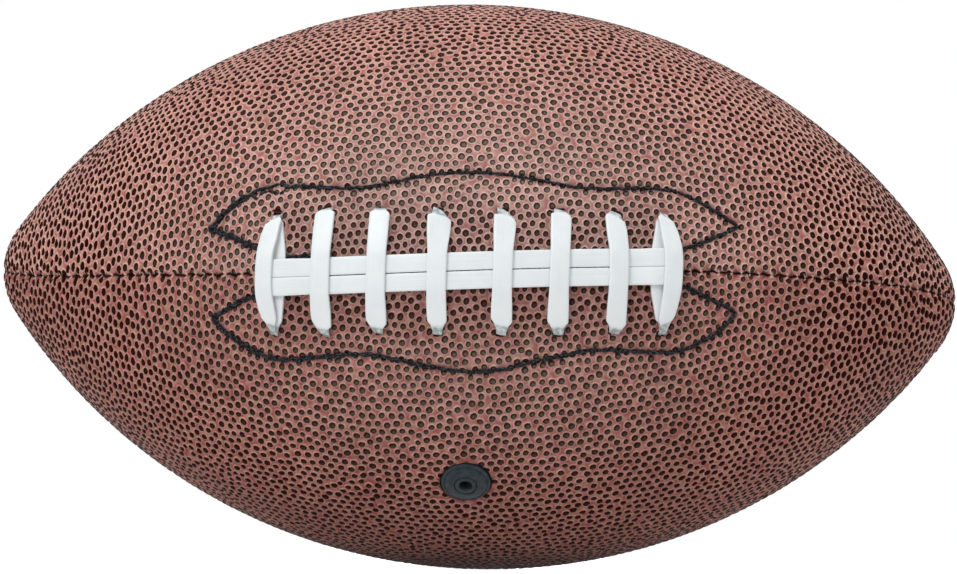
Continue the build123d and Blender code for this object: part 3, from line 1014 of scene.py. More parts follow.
    def scatter(self, rng: np.random.Generator) -> np.ndarray:
        """Spreads points evenly but in no order over the flat panel and a little beyond it.

        A triangular lattice is shaken loose; then, in each round, every point moves away from each
        neighbour nearer than the spacing by a share of what is missing.

        Args:
            rng: Source of the shaking.

        Returns:
            Rows of distance along and across the flat panel.
        """
        row = self.spacing * math.sqrt(0.75)
        longest = self.ball.quarter_arc / (1 - max(self.pull))
        columns = math.ceil(longest / self.spacing) + self.margin
        rows = math.ceil(self.ball.radius * math.pi / 4 / row) + self.margin
        j, i = np.mgrid[-rows:rows + 1, -columns:columns + 1].astype(float)
        grid = np.stack([(i + j % 2 / 2) * self.spacing, j * row], axis=-1)
        grid = grid + rng.uniform(-1, 1, grid.shape) * self.spacing * self.shake
        steps = [(a, b) for a in range(-2, 3) for b in range(-2, 3) if (a, b) != (0, 0)]
        for _ in range(self.push_rounds):
            move = np.zeros_like(grid)
            for step in steps:
                apart = grid - np.roll(grid, step, axis=(0, 1))
                far = np.linalg.norm(apart, axis=-1, keepdims=True)
                move += apart / far * np.maximum(0.0, self.spacing - far)
            grid = grid + self.push * move
        return grid.reshape(-1, 2)

    def cells(self, rng: np.random.Generator) -> Cells:
        """Divides the flat panel into one cell round each scattered point.

        A cell's corners lie in the middle of the triangles that join its point to its neighbours.

        Args:
            rng: Source of the scatter.

        Returns:
            The cells whose centres lie on the panel or just beyond its rim.
        """
        points = self.scatter(rng)
        triangles = np.array(delaunay_2d_cdt(points.tolist(), [], [], 0, self.same_point)[2])
        corner = points[triangles].mean(axis=1)
        owner, tip = triangles.ravel(), np.repeat(np.arange(len(triangles)), 3)
        spoke = corner[tip] - points[owner]
        order = np.lexsort((np.arctan2(spoke[:, 1], spoke[:, 0]), owner))
        owner, tip = owner[order], tip[order]
        last = np.nonzero(np.append(owner[1:] != owner[:-1], True))[0]
        following = np.arange(1, len(owner) + 1)
        following[last] = np.concatenate([[0], last[:-1] + 1])
        s, t = self.lay(points)
        longest = self.ball.quarter_arc
        keep = np.abs(s) < longest + self.spacing
        keep &= np.abs(t) < self.limit(np.clip(s, -longest, longest)) + self.spacing
        mine = keep[owner]
        return Cells(points[keep], corner, (np.cumsum(keep) - 1)[owner[mine]], tip[mine],
                     (np.cumsum(mine) - 1)[following[mine]])

    def local_shape(self, centre: np.ndarray) -> np.ndarray:
        """Finds how the flat pattern is skewed where it lies on the ball, so that pebbles stay upright.

        Args:
            centre: Pebble centres on the flat panel.

        Returns:
            One matrix per pebble that turns a flat offset, as a row, into the unpulled offset on the ball.
        """
        along, across, pull = self.pulled(centre)
        s = self.held(along)
        _, r, lean, _ = self.ball.meridian(s)
        skew = np.clip(across * lean / r, -self.skew_limit, self.skew_limit)
        share = 1 - smoothstep(np.abs(s), *self.arc_fade)
        longer = (1 + pull) / (1 - pull)
        one = np.ones(len(s))
        return np.stack([np.stack([one, skew / longer], axis=-1),
                         np.stack([-share * skew * longer, one], axis=-1)], axis=1)

    def from_stitch(self, s: np.ndarray, t: np.ndarray) -> np.ndarray:
        """Measures how far places on the panel are from the nearest point of the sewn line.

        Args:
            s: Distances along the panel.
            t: Distances across it.

        Returns:
            Distances from the line, infinite well away from it.
        """
        here = np.stack([s, t + self.offset(s)], axis=1)
        close = (np.abs(here) < self.stitch_box).all(axis=1)
        apart = here[close][:, None, :] - self.stitch[None, ::2, :]
        away = np.full(len(s), np.inf)
        away[close] = np.sqrt((apart ** 2).sum(axis=2).min(axis=1))
        return away

    def settle(self, flat: np.ndarray,
               lift: np.ndarray) -> tuple[np.ndarray, np.ndarray, np.ndarray, np.ndarray]:
        """Fits flat points to the panel's rim and openings, and sinks them into seams and stitches.

        Each dip is a depth times exp(-(d / reach)^2), where d is the distance from the seam or the
        stitches, and the puckers' depth follows a power of a cosine along the seam. The seam's edge
        strays by the sum of two sine waves, which start elsewhere on each seam.

        Args:
            flat: Rows of distance along and across the flat panel.
            lift: Height of each point's pebble.

        Returns:
            Places as rows of along, across and height, which points lay outside, each point's
            distance from the seam, and the dent at it.
        """
        along, across = self.lay(flat)
        s = self.held(along)
        rim = self.limit(s)
        t = np.clip(across, -rim, rim)
        outside = (s != along) | (np.abs(across) > rim)
        dent = np.zeros(len(s))
        for opening in self.openings:
            s, across, inside, sunk = opening.push(s, t + self.offset(s))
            t = across - self.offset(s)
            outside |= inside
            dent = np.maximum(dent, sunk)
        rim = self.limit(s)
        gap = rim - np.abs(t)
        if self.stitch is not None:
            away = self.from_stitch(s, t)
            dent = np.maximum(dent, self.stitch_dent * np.exp(-(away / self.stitch_reach) ** 2))
            lift = lift * smoothstep(away, *self.stitch_clear)
        run = s + self.pucker_slant * gap
        phase = 2 * math.pi * run / PUCKER_PITCH + PUCKER_SWAY * np.sin(s * PUCKER_DRIFT)
        pucker = (0.5 + 0.5 * np.cos(phase)) ** self.pucker_sharpness
        fold = self.seam_depth * np.exp(-(gap / self.seam_reach) ** 2)
        fold += self.pucker_depth * pucker * np.exp(-(gap / self.pucker_reach) ** 2)
        fold *= self.tip_fold + (1 - self.tip_fold) * smoothstep(rim, *self.fold_fade)
        seam = self.middle + np.sign(t) * math.pi / 4
        first, second = self.stray_waves
        shift = self.stray_shift[0] * np.cos(seam), self.stray_shift[1] * np.sin(seam)
        stray = np.sin(first * s + shift[0]) + np.sin(second * s + shift[1])
        t = t + self.seam_stray * stray * np.exp(-gap ** 2) * smoothstep(rim, *self.stray_fade)
        height = lift * smoothstep(gap, *self.seam_clear) - fold - dent
        return np.stack([s, t, height], axis=1), outside, gap, dent

    def on_ball(self, places: np.ndarray) -> np.ndarray:
        """Puts settled places on the ball."""
        s, t, height = places.T
        return self.ball.place(s, self.middle + t / self.ball.meridian(s)[1], height)

    def pebble_map(self, cells: Cells, rings: Sequence[np.ndarray], room: np.ndarray,
                   rng: np.random.Generator) -> np.ndarray:
        """Maps faces to millimetres from their pebble's middle, each pebble stretched a little its own way.

        Args:
            cells: The cells.
            rings: Offsets of the shoulder, foot and corner on each spoke.
            room: Size of each pebble's cell.
            rng: Source of the stretch.

        Returns:
            Map by spoke, face and corner of the face.
        """
        shoulder, foot, spoke = rings
        zero = np.zeros_like(shoulder)
        turn = [ring[cells.following] for ring in rings]
        uv = np.stack([np.stack(f, axis=1) for f in (
            (zero, shoulder, turn[0]), (shoulder, foot, turn[1]), (shoulder, turn[1], turn[0]),
            (foot, spoke, turn[2]), (foot, turn[2], turn[1]))], axis=1)
        count = len(cells.centre)
        amount, heading = rng.uniform(0, self.stretch, count), rng.uniform(0, 2 * math.pi, count)
        sway = np.stack([amount * np.cos(heading), amount * np.sin(heading)], axis=-1)
        shear = np.stack([sway, sway[:, ::-1] * (1, -1)], axis=-1) + np.eye(2)
        return np.einsum("sfvi,sij->sfvj", uv, (shear / room[:, None, None])[cells.owner])

    def surface(self) -> Surface:
        """Builds the pebbled outside, the turned-in rim and the plain inside of the panel.

        Each spoke of a cell bears five triangles: one from the pebble's top to its shoulder, two
        down to the foot and two out to the cell's corners.

        Returns:
            The panel's surface.
        """
        rng = np.random.default_rng(self.seed)
        cells = self.cells(rng)
        owner, following = cells.owner, cells.following
        count, spokes = len(cells.centre), len(owner)
        shape = self.local_shape(cells.centre)
        spoke = np.einsum("ni,nij->nj", cells.corner[cells.tip] - cells.centre[owner], shape[owner])
        length = np.linalg.norm(spoke, axis=1)
        aim = spoke / length[:, None]
        room = np.bincount(owner, length) / np.bincount(owner) * math.sqrt(3) / self.spacing
        room = np.clip(room, *self.fit)
        size = rng.uniform(*self.pebble_sizes, count) * room
        shoulder, foot = (aim * np.minimum(ring.reach * size[owner], ring.room * length)[:, None]
                          for ring in (self.shoulder, self.foot))
        flatten = np.linalg.inv(shape)[owner]
        rings = [cells.centre[owner] + np.einsum("ni,nij->nj", ring, flatten) for ring in (shoulder, foot)]
        high = self.pebble_height * size
        lift = np.concatenate([high, self.shoulder.height * high[owner], self.foot.height * high[owner],
                               np.zeros(len(cells.corner))])
        places, outside, gap, dent = self.settle(np.concatenate([cells.centre, *rings, cells.corner]), lift)
        a, a1 = count + np.arange(spokes), count + following
        b, b1 = a + spokes, a1 + spokes
        x = count + 2 * spokes + cells.tip
        x1 = x[following]
        faces = np.stack([np.stack(f, axis=-1) for f in (
            (owner, a, a1), (a, b, b1), (a, b1, a1), (b, x, x1), (b, x1, b1))], axis=1)
        home = np.repeat(owner, faces.shape[1])
        faces = faces.reshape(-1, 3)
        uv = self.pebble_map(cells, (shoulder, foot, spoke), room, rng)
        bare = outside[:count] | (gap[:count] < self.seam_bare)
        bare |= dent[:count] > self.stitch_bare * self.stitch_dent
        uv[bare[owner]] += NO_PEBBLE
        tone = rng.uniform(0, 1, count)[home]
        first, second, third = self.on_ball(places)[faces.T]
        keep = ~outside[faces].all(axis=1)
        keep &= np.linalg.norm(np.cross(second - first, third - first), axis=1) > self.least_face
        cut = np.bincount(home, ~keep) > 0
        inner = np.concatenate([faces[keep & cut[home]], np.stack([owner, x, x1], axis=1)[~cut[owner]]])
        return self.close(places, faces[keep], inner[:, ::-1], uv.reshape(-1, 3, 2)[keep], tone[keep],
                          gap, dent)

    def close(self, places: np.ndarray, faces: np.ndarray, inner: np.ndarray, uv: np.ndarray,
              tone: np.ndarray, gap: np.ndarray, dent: np.ndarray) -> Surface:
        """Adds the rim that turns in at every edge, and the inner face.

        Args:
            places: Settled places of the outside.
            faces: Its triangles.
            inner: Triangles of the inner face, below the same places.
            uv: Pebble map of each triangle.
            tone: Random tone of each triangle's pebble.
            gap: Distance of each place from the seam.
            dent: Depth of the dent at each place.

        Returns:
            The panel's whole surface.
        """
        used, both = np.unique(np.concatenate([faces, inner]), return_inverse=True)
        faces, inner = np.split(both.reshape(-1, 3), [len(faces)])
        places, gap, dent = places[used], gap[used], dent[used]
        edges = boundary_edges(faces)
        below, inner = np.unique(inner, return_inverse=True)
        inner = inner.reshape(-1, 3) + len(places)
        low = np.searchsorted(below, edges) + len(places)
        skirt = np.concatenate([np.stack([edges[:, 1], edges[:, 0], low[:, 0]], axis=1),
                                np.stack([edges[:, 1], low[:, 0], low[:, 1]], axis=1)])
        under = places[below]
        under[:, 2] = -self.thickness
        whole = np.concatenate([places, under])
        s, t, _ = whole.T
        gap = np.concatenate([gap, np.zeros(len(under))])
        deep = np.concatenate([dent, np.full(len(under), self.stitch_dent)])
        # Painted shade between the laces, in the dents at stitches and holes, and on the underside and
        # turned-in rim
        painted_shade = self.lace_shade * (1 - smoothstep(np.abs(s), *self.lace_shade_along))
        painted_shade *= 1 - smoothstep(np.abs(t + self.offset(s)), *self.lace_shade_across)
        painted_shade = np.maximum(painted_shade, self.dent_shade * (deep / self.stitch_dent) ** 2)
        plain = len(skirt) + len(inner)
        total = len(faces) + plain
        values = {"painted_shade": painted_shade, "seam_gap": gap, "seam_run": s + self.pucker_slant * gap}
        tones = {"pebble_tone": np.concatenate([tone, np.full(plain, self.plain_tone)]),
                 "panel_sheen": np.full(total, self.sheen), "panel_shading": np.full(total, self.dye)}
        return Surface(self.on_ball(whole), [np.concatenate([faces, skirt, inner])],
                       np.concatenate([uv, np.full((plain, 3, 2), NO_PEBBLE)]), values, tones)


@dataclass
class Cover:
    """The four sewn panels, with the lace holes and the valve's opening."""

    ball: BallShape
    material: Any
    lace_hole: Span = (1.9, 0.9)  # half its length and width
    lace_dent: Span = (0.2, 0.6)  # depth and reach
    valve_hole: float = 7.55
    valve_dent: Span = (0.25, 0.5)

    def build(self) -> None:
        """Builds the panels, each with its own angle, seed, painted highlight on its pebble tops and painted
        shading.
        """
        quarter = math.pi / 4
        upper, lower = ([Opening(s, q, *self.lace_hole, *self.lace_dent) for s, q in holes]
                        for holes in (UPPER_HOLES, LOWER_HOLES))
        valve_q = self.ball.radius * VALVE_PHI
        lower.append(Opening(0.0, valve_q, self.valve_hole, self.valve_hole, *self.valve_dent))
        # angle, seed, painted highlight on the pebble tops and painted shading; the front panels also hold
        # their openings and sewn line
        panels = {"upper_front": (quarter, 11, 1.0, 0.0, upper, stitch_line(Side.UPPER)),
                  "lower_front": (-quarter, 12, 0.68, 1.0, lower, stitch_line(Side.LOWER)),
                  "upper_rear": (3 * quarter, 13, 0.7, 0.6),
                  "lower_rear": (-3 * quarter, 14, 0.6, 0.4)}
        for name, cut in panels.items():
            node = "panel_" + name
            surface = LeatherPanel(self.ball, *cut).surface()
            surface.piece(node + "_leather", self.material, Body.BALL, [node], "leather")


@dataclass(frozen=True)
class CrossEnd:
    """One end of a lace: where its face ends, where it goes into the cover, its width, cut and roll."""

    face: Span
    tip: Span
    width: float
    cut: float  # change across the seam for each millimetre along it
    roll: float = 0.0


@dataclass(frozen=True)
class CrossShape:
    """How one lace crosses the seam: its place and width over the rails, and its two ends."""

    middle: float
    top: CrossEnd
    bottom: CrossEnd
    width: float = 5.45


CROSSES = (
    CrossShape(-42.97, CrossEnd((-42.6, 17.0), UPPER_HOLES[1], 5.75, 0.19),
               CrossEnd((-42.2, -15.2), LOWER_HOLES[1], 5.9, -0.45)),
    CrossShape(-26.88, CrossEnd((-26.65, 16.7), UPPER_HOLES[2], 5.75, -0.1),
               CrossEnd((-26.35, -15.1), LOWER_HOLES[2], 5.9, -0.3)),
    CrossShape(-9.77, CrossEnd((-9.7, 15.0), UPPER_HOLES[3], 6.8, -0.25, 0.3),
               CrossEnd((-9.2, -15.0), LOWER_HOLES[3], 5.6, -0.15)),
    CrossShape(8.58, CrossEnd((8.8, 14.7), UPPER_HOLES[4], 6.35, -0.4, 0.15),
               CrossEnd((8.85, -15.2), LOWER_HOLES[4], 6.0, -0.25)),
    CrossShape(24.5, CrossEnd((24.55, 15.3), UPPER_HOLES[5], 5.85, -0.28),
               CrossEnd((24.7, -15.7), LOWER_HOLES[5], 6.0, -0.1)),
    CrossShape(41.35, CrossEnd((39.9, 14.4), UPPER_HOLES[6], 5.9, -0.4),
               CrossEnd((41.3, -15.9), LOWER_HOLES[6], 5.75, -0.2)),
)
END_OVERS = {
    End.LEFT: CrossShape(-59.2, CrossEnd((-57.3, 14.3), (-57.0, 16.4), 5.2, 0.5),
                         CrossEnd((-57.2, -13.4), LOWER_HOLES[0], 4.9, -0.42), 4.85),
    End.RIGHT: CrossShape(56.8, CrossEnd((54.3, 14.0), UPPER_HOLES[7], 4.9, -0.5),
                          CrossEnd((55.4, -14.2), LOWER_HOLES[7], 4.9, 0.35), 5.25),
}
END_UNDERS = {
    End.LEFT: CrossShape(-56.0, CrossEnd((-57.4, 14.6), (-57.2, 16.6), 4.5, 0.0),
                         CrossEnd((-56.6, -14.4), LOWER_HOLES[0], 4.7, 0.0), 4.7),
    End.RIGHT: CrossShape(53.6, CrossEnd((54.3, 13.8), UPPER_HOLES[7], 4.6, 0.0),
                          CrossEnd((55.4, -14.4), LOWER_HOLES[7], 4.7, 0.0), 5.4),
}


@dataclass
class Lace:
    """The white lace as it shows: two rails along the seam and the strips across them.

    Each strip is a superellipse section carried along a path over the seam; its ends are cut
    aslant, pinched and tucked down into the lace holes.
    """

    ball: BallShape
    material: Any
    thickness: float = 1.4
    rest: float = 0.12  # height of a strip's underside above the cover
    clearance: float = 0.12  # between strips that lie over each other
    columns: int = 28
    step: float = 0.4  # along a path
    squareness: float = 4.6
    rail_width: float = 5.1
    rail_slit: float = 0.11
    slit_close: Span = (40.0, 46.0)
    slit_closed: float = 0.85
    rail_end: float = 57.6
    rail_step: float = 0.8
    rail_climb: Span = (46.0, 53.0)
    rail_clearance: float = 0.15
    rail_ripple: Span = (0.03, 0.7)  # height, and radians for each millimetre
    rail_lean: float = 0.0187
    rail_shift: float = -0.15
    rail_squareness: float = 6.0
    hole_path: tuple[Span, ...] = ((0.25, -2.6), (0.1, -0.7), (-0.35, 0.25))  # past the hole, and height
    fold_share: float = 0.65  # of the way from the hole to where the face ends
    fold_height: float = 0.8
    face_lift: float = 0.08
    flat_end: tuple[float, float, float] = (-1.4, 0.1, 0.1)  # past the face's end, share of the climb, lift
    climb: tuple[tuple[float, float, float], ...] = (  # distance across, share of the climb, lift
        (6.6, 0.84, 0.0), (5.0, 1.0, -0.02), (2.0, 1.0, 0.0))
    spread: Span = (4.0, 12.5)  # where the width changes to the end's
    pinch: float = 0.34
    pinch_start: Span = (-0.3, -1.2)  # at the upper and lower end
    pinch_end: float = 0.6
    taper: float = 0.18
    taper_reach: Span = (0.3, 2.4)
    thinning: float = 0.3
    thin_reach: Span = (0.0, 1.0)
    cut_reach: Span = (-5.0, -0.5)
    tuck_shade_reach: Span = (0.1, 0.8)

    def half_path(self, shape: CrossShape, end: CrossEnd, lie: float, crest: float) -> np.ndarray:
        """Lists the path's corners from one hole to the seam.

        Args:
            shape: The lace.
            end: Its end at that hole.
            lie: Height of the strip's middle beside the hole.
            crest: Height of its middle over the seam.

        Returns:
            Rows of distance along and across the seam and height.
        """
        side = math.copysign(1.0, end.face[1])
        face, tip = np.array(end.face), np.array(end.tip)
        sunk = [(tip[0], tip[1] + past * side, height) for past, height in self.hole_path]
        fold = (*(self.fold_share * face + (1 - self.fold_share) * tip), self.fold_height * lie)
        past, *rise = self.flat_end
        along, share, lift = np.array([(side * face[1] + past, *rise), *self.climb]).T
        place = shape.middle + (face[0] - shape.middle) * (side * along / face[1]) ** 2
        over = np.stack([place, side * along, lie + share * (crest - lie) + lift], axis=1)
        return np.concatenate([[*sunk, fold, (*face, lie + self.face_lift)], over])

    def crossing(self, shape: CrossShape, lie: float, crest: float) -> Surface:
        """Builds one strip across the seam.

        Its path rises from the upper hole, lies on the cover, climbs over what is below and goes
        down into the lower hole; along the seam it bends as the square of the distance across.

        Args:
            shape: Place and ends of the lace.
            lie: Height of the strip's middle beside the holes.
            crest: Height of its middle over the seam.

        Returns:
            The strip's surface.
        """
        upper, lower = (self.half_path(shape, end, lie, crest) for end in (shape.top, shape.bottom))
        chart, _ = even_steps(cut_corners(np.concatenate([upper, lower[::-1]]), CORNER_ROUNDS), self.step)
        q = chart[:, 1]
        zero = np.zeros(len(q))
        face_q, roll, end_width, cut, early = np.where(q > 0, *(
            np.array([end.face[1], end.roll, end.width, end.cut, start])[:, None]
            for end, start in zip((shape.top, shape.bottom), self.pinch_start)))
        beyond = np.abs(q) - np.abs(face_q)
        out = smoothstep(np.abs(q), *self.spread)
        tangent = unit(np.gradient(chart, axis=0))
        up = unit(np.stack([zero, tangent[:, 2], -tangent[:, 1]], axis=1))
        up = up + np.stack([np.tan(roll * out), zero, zero], axis=1)
        pinch = self.pinch * smoothstep(beyond, early, self.pinch_end)
        pinch = pinch + self.taper * smoothstep(beyond, *self.taper_reach)
        half_width = (shape.width + (end_width - shape.width) * out) / 2 * (1 - pinch)
        half_thick = self.thickness / 2 * (1 - self.thinning * smoothstep(beyond, *self.thin_reach))
        strip = sweep(chart, up, half_width, half_thick, self.columns, self.squareness)
        row = np.append(np.repeat(np.arange(len(q)), self.columns), [0, len(q) - 1])
        slant = cut * smoothstep(beyond, *self.cut_reach)
        strip.points[:, 1] += slant[row] * (strip.points[:, 0] - chart[row, 0])
        # Painted shade on the ends that go down into the holes
        strip.point_values = {"tuck_shade": smoothstep(beyond, *self.tuck_shade_reach)[row]}
        strip.points = self.ball.from_seam(strip.points)
        return strip

    def rail(self, side: Side) -> Surface:
        """Builds one strip along the seam.

        Its middle lies half its width and the slit from the seam, drifts a little across it with the
        distance along, and rises smoothly over the end laces; a fine sine wave keeps it uneven.

        Args:
            side: Side of the seam.

        Returns:
            The strip's surface.
        """
        s = np.arange(-self.rail_end, self.rail_end + self.rail_step / 2, self.rail_step)
        climb = smoothstep(np.abs(s), *self.rail_climb) * (self.thickness + self.rail_clearance)
        ripple, rate = self.rail_ripple
        h = self.rest + self.thickness / 2 + climb + ripple * np.sin(s * rate)
        slit = self.rail_slit * (1 - self.slit_closed * smoothstep(np.abs(s), *self.slit_close))
        q = side.value * (self.rail_width / 2 + slit) + self.rail_shift + self.rail_lean * s
        up = np.tile([0.0, 0.0, 1.0], (len(s), 1))
        half_width = np.full(len(s), self.rail_width / 2)
        half_thick = np.full(len(s), self.thickness / 2)
        strip = sweep(np.stack([s, q, h], axis=1), up, half_width, half_thick, self.columns,
                      self.rail_squareness)
        strip.points = self.ball.from_seam(strip.points)
        return strip

    def build(self) -> None:
        """Builds every strip of the lace."""
        lie = self.rest + self.thickness / 2
        step = self.thickness + self.clearance
        crest = lie + step
        strips = {f"lace_rail_{side.name.lower()}": self.rail(side) for side in Side}
        for number, shape in enumerate(CROSSES, 2):
            strips[f"lace_cross_{number}"] = self.crossing(shape, lie, crest)
        for end in End:
            strips[f"lace_end_{end.value}_under"] = self.crossing(END_UNDERS[end], lie, lie)
            strips[f"lace_end_{end.value}_over"] = self.crossing(END_OVERS[end], lie + step, crest + step)
        for name, strip in strips.items():
            strip.piece(name + "_strip", self.material, Body.BALL, [name], "lace")


@dataclass
class FacingStitch:
    """The black thread sewn round the lace: two strands that cross over at each stitch."""

    ball: BallShape
    material: Any
    radius: float = 0.37
    stitch: float = 3.3
    step: float = 0.35
    winding: tuple[tuple[float, float, float], ...] = (  # size, rate and start of its sine waves
        (0.8, 0.37, 0.0), (0.5, 0.83, 1.0))
    sway: float = 0.44
    sway_range: Span = (0.8, 0.35)  # mean share and change
    sway_rate: float = 0.21
    rise: float = 0.6  # of the sway, as height
    sunk: float = 0.25  # depth of the strands' middle where a stitch goes in
    swell: float = 0.3
    slack_lift: float = 0.25  # height that slack gives
    slack_size: float = 0.6  # share of the thickness that follows slack
    lean_size: float = 0.7  # share of the radius where a stitch goes in
    full_size: float = 0.45  # added in its middle
    lumps: float = 0.25
    lump_rates: Span = (1.7, 0.6)
    parting: float = 2.1  # how far the loose second strand at the upper left hangs below the first
    parting_above: float = 14.0
    parting_start: Span = (-70.0, -62.0)
    parting_end: Span = (-57.0, -51.0)
    columns: int = 10
    squareness: float = 2.0  # a round section

    def strand(self, line: np.ndarray, at: np.ndarray, slack: np.ndarray, turn: float) -> Surface:
        """Builds one strand.

        It winds about the sewn line at half a turn a stitch, not quite evenly, swells in the
        middle of each stitch and dips where the stitch goes in. Slow sine waves along the line
        make the winding, the sway and the thickness uneven.

        Args:
            line: Points of the sewn line.
            at: Their distance along it.
            slack: How loose the stitches are at each point, 1 being even.
            turn: Angle at which the strand starts.

        Returns:
            The strand's surface in the lace seam's chart.
        """
        along = unit(np.gradient(line, axis=0))
        beside = np.stack([-along[:, 1], along[:, 0]], axis=1)
        phase = math.pi * at / self.stitch
        swell = np.abs(np.sin(phase))
        for size, rate, start in self.winding:
            phase = phase + size * np.sin(rate * at + start)
        phase = phase + turn
        mean, change = self.sway_range
        sway = self.sway * slack * (mean + change * np.sin(self.sway_rate * at + turn))
        centre = line + beside * (sway * np.cos(phase))[:, None]
        lift = self.swell * swell - self.sunk + self.rise * self.sway * np.sin(phase)
        lift = lift + self.slack_lift * np.maximum(slack - 1, 0)
        fast, slow = self.lump_rates
        lump = np.sin(fast * at + turn) * np.sin(slow * at + 2 * turn)
        size = self.radius * (1 - self.slack_size + self.slack_size * slack)
        size = size * (self.lean_size + self.full_size * swell + self.lumps * lump)
        up = np.tile([0.0, 0.0, 1.0], (len(line), 1))
        return sweep(np.column_stack([centre, lift]), up, size, size, self.columns, self.squareness)

    def build(self) -> None:
        """Builds the threads above and below the seam; at the upper left the second strand hangs loose."""
        for side in Side:
            line, at = even_steps(stitch_line(side), self.step)
            slack = np.interp(at / at[-1], np.linspace(0, 1, len(STITCH_SLACK[side])), STITCH_SLACK[side])
            s, q = line.T
            parted = smoothstep(s, *self.parting_start) * (1 - smoothstep(s, *self.parting_end))
            parted = np.where(q > self.parting_above, self.parting * parted, 0.0)
            below = line - np.stack([np.zeros(len(at)), parted], axis=1)
            first, second = self.strand(line, at, slack, 0.0), self.strand(below, at, slack, math.pi)
            faces = first.faces + [f + len(first.points) for f in second.faces]
            points = self.ball.from_seam(np.concatenate([first.points, second.points]))
            thread = Surface(points, faces, np.concatenate([first.uv, second.uv]))
            name = f"facing_stitch_{side.name.lower()}"
            thread.piece(name + "_thread", self.material, Body.BALL, [name], "facing_thread")


@dataclass
class Valve:
    """The rubber valve: profiles turned about its axis, bent to the curve of the ball."""

    ball: BallShape
    face_radius: float = 7.2
    core_radius: float = 3.2
    core_clearance: float = 0.05
    columns: int = 72

    def turned(self, profile: np.ndarray) -> np.ndarray:
        """Turns a profile about the valve's axis.

        A point at distance d from the axis drops by d^2 over twice the ball's radius of curvature
        in its direction, so that the valve's face follows the cover.

        Args:
            profile: Rows of distance from the axis and height above the cover.

        Returns:
            Grid of points, one row per profile point.
        """
        angle = np.linspace(0, 2 * math.pi, self.columns, endpoint=False)
        x = profile[:, :1] * np.cos(angle)
        y = profile[:, :1] * np.sin(angle)
        drop = x ** 2 / (2 * self.ball.belly_radius) + y ** 2 / (2 * self.ball.radius)
        out = self.ball.radius + profile[:, 1:] - drop
        axis = np.array([0.0, -math.cos(VALVE_PHI), math.sin(VALVE_PHI)])
        across = np.array([0.0, math.sin(VALVE_PHI), math.cos(VALVE_PHI)])
        along = np.array([1.0, 0.0, 0.0])
        return x[..., None] * along + y[..., None] * across + out[..., None] * axis

    def ring(self, profile: np.ndarray) -> Surface:
        """Turns a closed profile into a ring.

        Args:
            profile: Rows of distance from the axis and height.

        Returns:
            The ring's surface.
        """
        number = np.arange(len(profile) * self.columns).reshape(-1, self.columns)
        beside, below = np.roll(number, -1, axis=1), np.roll(number, -1, axis=0)
        quads = np.stack([number, beside, np.roll(beside, -1, axis=0), below], axis=-1).reshape(-1, 4)
        return Surface(self.turned(profile).reshape(-1, 3), [quads])

    def plug(self, profile: np.ndarray) -> Surface:
        """Turns an open profile whose two ends lie on the axis into a solid.

        Args:
            profile: Rows of distance from the axis and height.

        Returns:
            The solid's surface.
        """
        grid, ends = self.turned(profile[1:-1]), self.turned(profile[[0, -1]])[:, 0]
        return Surface(np.concatenate([grid.reshape(-1, 3), ends]), tube(len(grid), self.columns))

    def build(self) -> None:
        """Builds the valve's body and its plug with the needle hole."""
        core, edge = self.core_radius, self.face_radius
        bore = core + self.core_clearance
        body = np.array([
            (bore, -15.0), (bore, 1.1), (bore + 0.12, 1.33), (bore + 0.4, 1.4), (bore + 0.95, 1.28),
            (bore + 1.8, 1.05), (edge - 1.35, 0.84), (edge - 1.05, 0.4), (edge - 0.75, 0.62),
            (edge - 0.45, 0.5), (edge - 0.1, 0.2), (edge, -0.3), (edge, -5.7), (edge + 5.1, -5.8),
            (edge + 5.7, -6.3), (edge + 5.1, -7.2), (5.4, -7.3), (5.2, -14.6), (4.8, -15.0)])
        plug = np.array([
            (0.0, -10.0), (1.0, -10.0), (1.05, -9.8), (1.05, -2.2), (1.45, -0.6), (1.75, 0.7), (1.88, 1.35),
            (2.1, 1.52), (2.5, 1.5), (core - 0.3, 1.36), (core - 0.06, 1.18), (core, 0.9), (core, -11.8),
            (3.0, -12.0), (0.0, -12.0)])
        shades = {"body": "#1a2226", "bloom": "#333e46", "patch_mm": 1.8}
        rubber = MouldedRubber("butyl_valve", **shades).material()
        self.ring(body[::-1]).piece("valve_disc", rubber, Body.VALVE, ["valve_body"], "valve_rubber")
        smoother = Coat(bump=0.2, bump_mm=0.05, roughness=0.45, shine=0.2)
        rubber = MouldedRubber("butyl_plug", **shades, coat=smoother).material()
        self.plug(plug[::-1]).piece("valve_plug", rubber, Body.CORE, ["valve_core"], "core_rubber")


@dataclass(frozen=True)
class HiddenPieces:
    """The pieces inside the ball, which keep their CAD shapes."""

    lace: Any  # material of the lace, for its hidden runs

    def build(self) -> None:
        """Gives each hidden node its material."""
        facing = WovenCloth("facing_cloth", "#5a4a40", "#33291f", 0.7).material()
        finishes = {
            "lining_": WovenCloth("cotton_lining", "#cdc3ac", "#8f8570").material(),
            "facing_upper": facing,
            "facing_lower": facing,
            "bladder": MouldedRubber("butyl_bladder", "#1c1c1d", "#34383a", 12.0).material(),
            "valve_patch": MouldedRubber("patch_rubber", "#2a2724", "#3c3733", 5.0).material(),
            "seam_thread_": Thread("sewing_thread", "#2a1712", "#4b2c22").material(),
            "lace_inner_runs": self.lace,
        }
        for name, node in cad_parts.items():
            for start, material in finishes.items():
                if name.startswith(start):
                    node.data.materials.clear()
                    node.data.materials.append(material)
                    LOG.info("%s: %s", name, material.name)


@dataclass(frozen=True)
class Lamp:
    """A square soft light that looks at the ball."""

    name: str
    place: tuple[float, float, float]
    size: float
    watts: float

    def hang(self) -> None:
        """Puts the light in the scene."""
        light = bpy.data.lights.new(self.name, "AREA")
        light.size = self.size
        light.energy = self.watts
        lamp = bpy.data.objects.new(self.name, light)
        lamp.location = self.place
        lamp.rotation_euler = (-Vector(self.place)).to_track_quat("-Z", "Y").to_euler()
        bpy.context.scene.collection.objects.link(lamp)


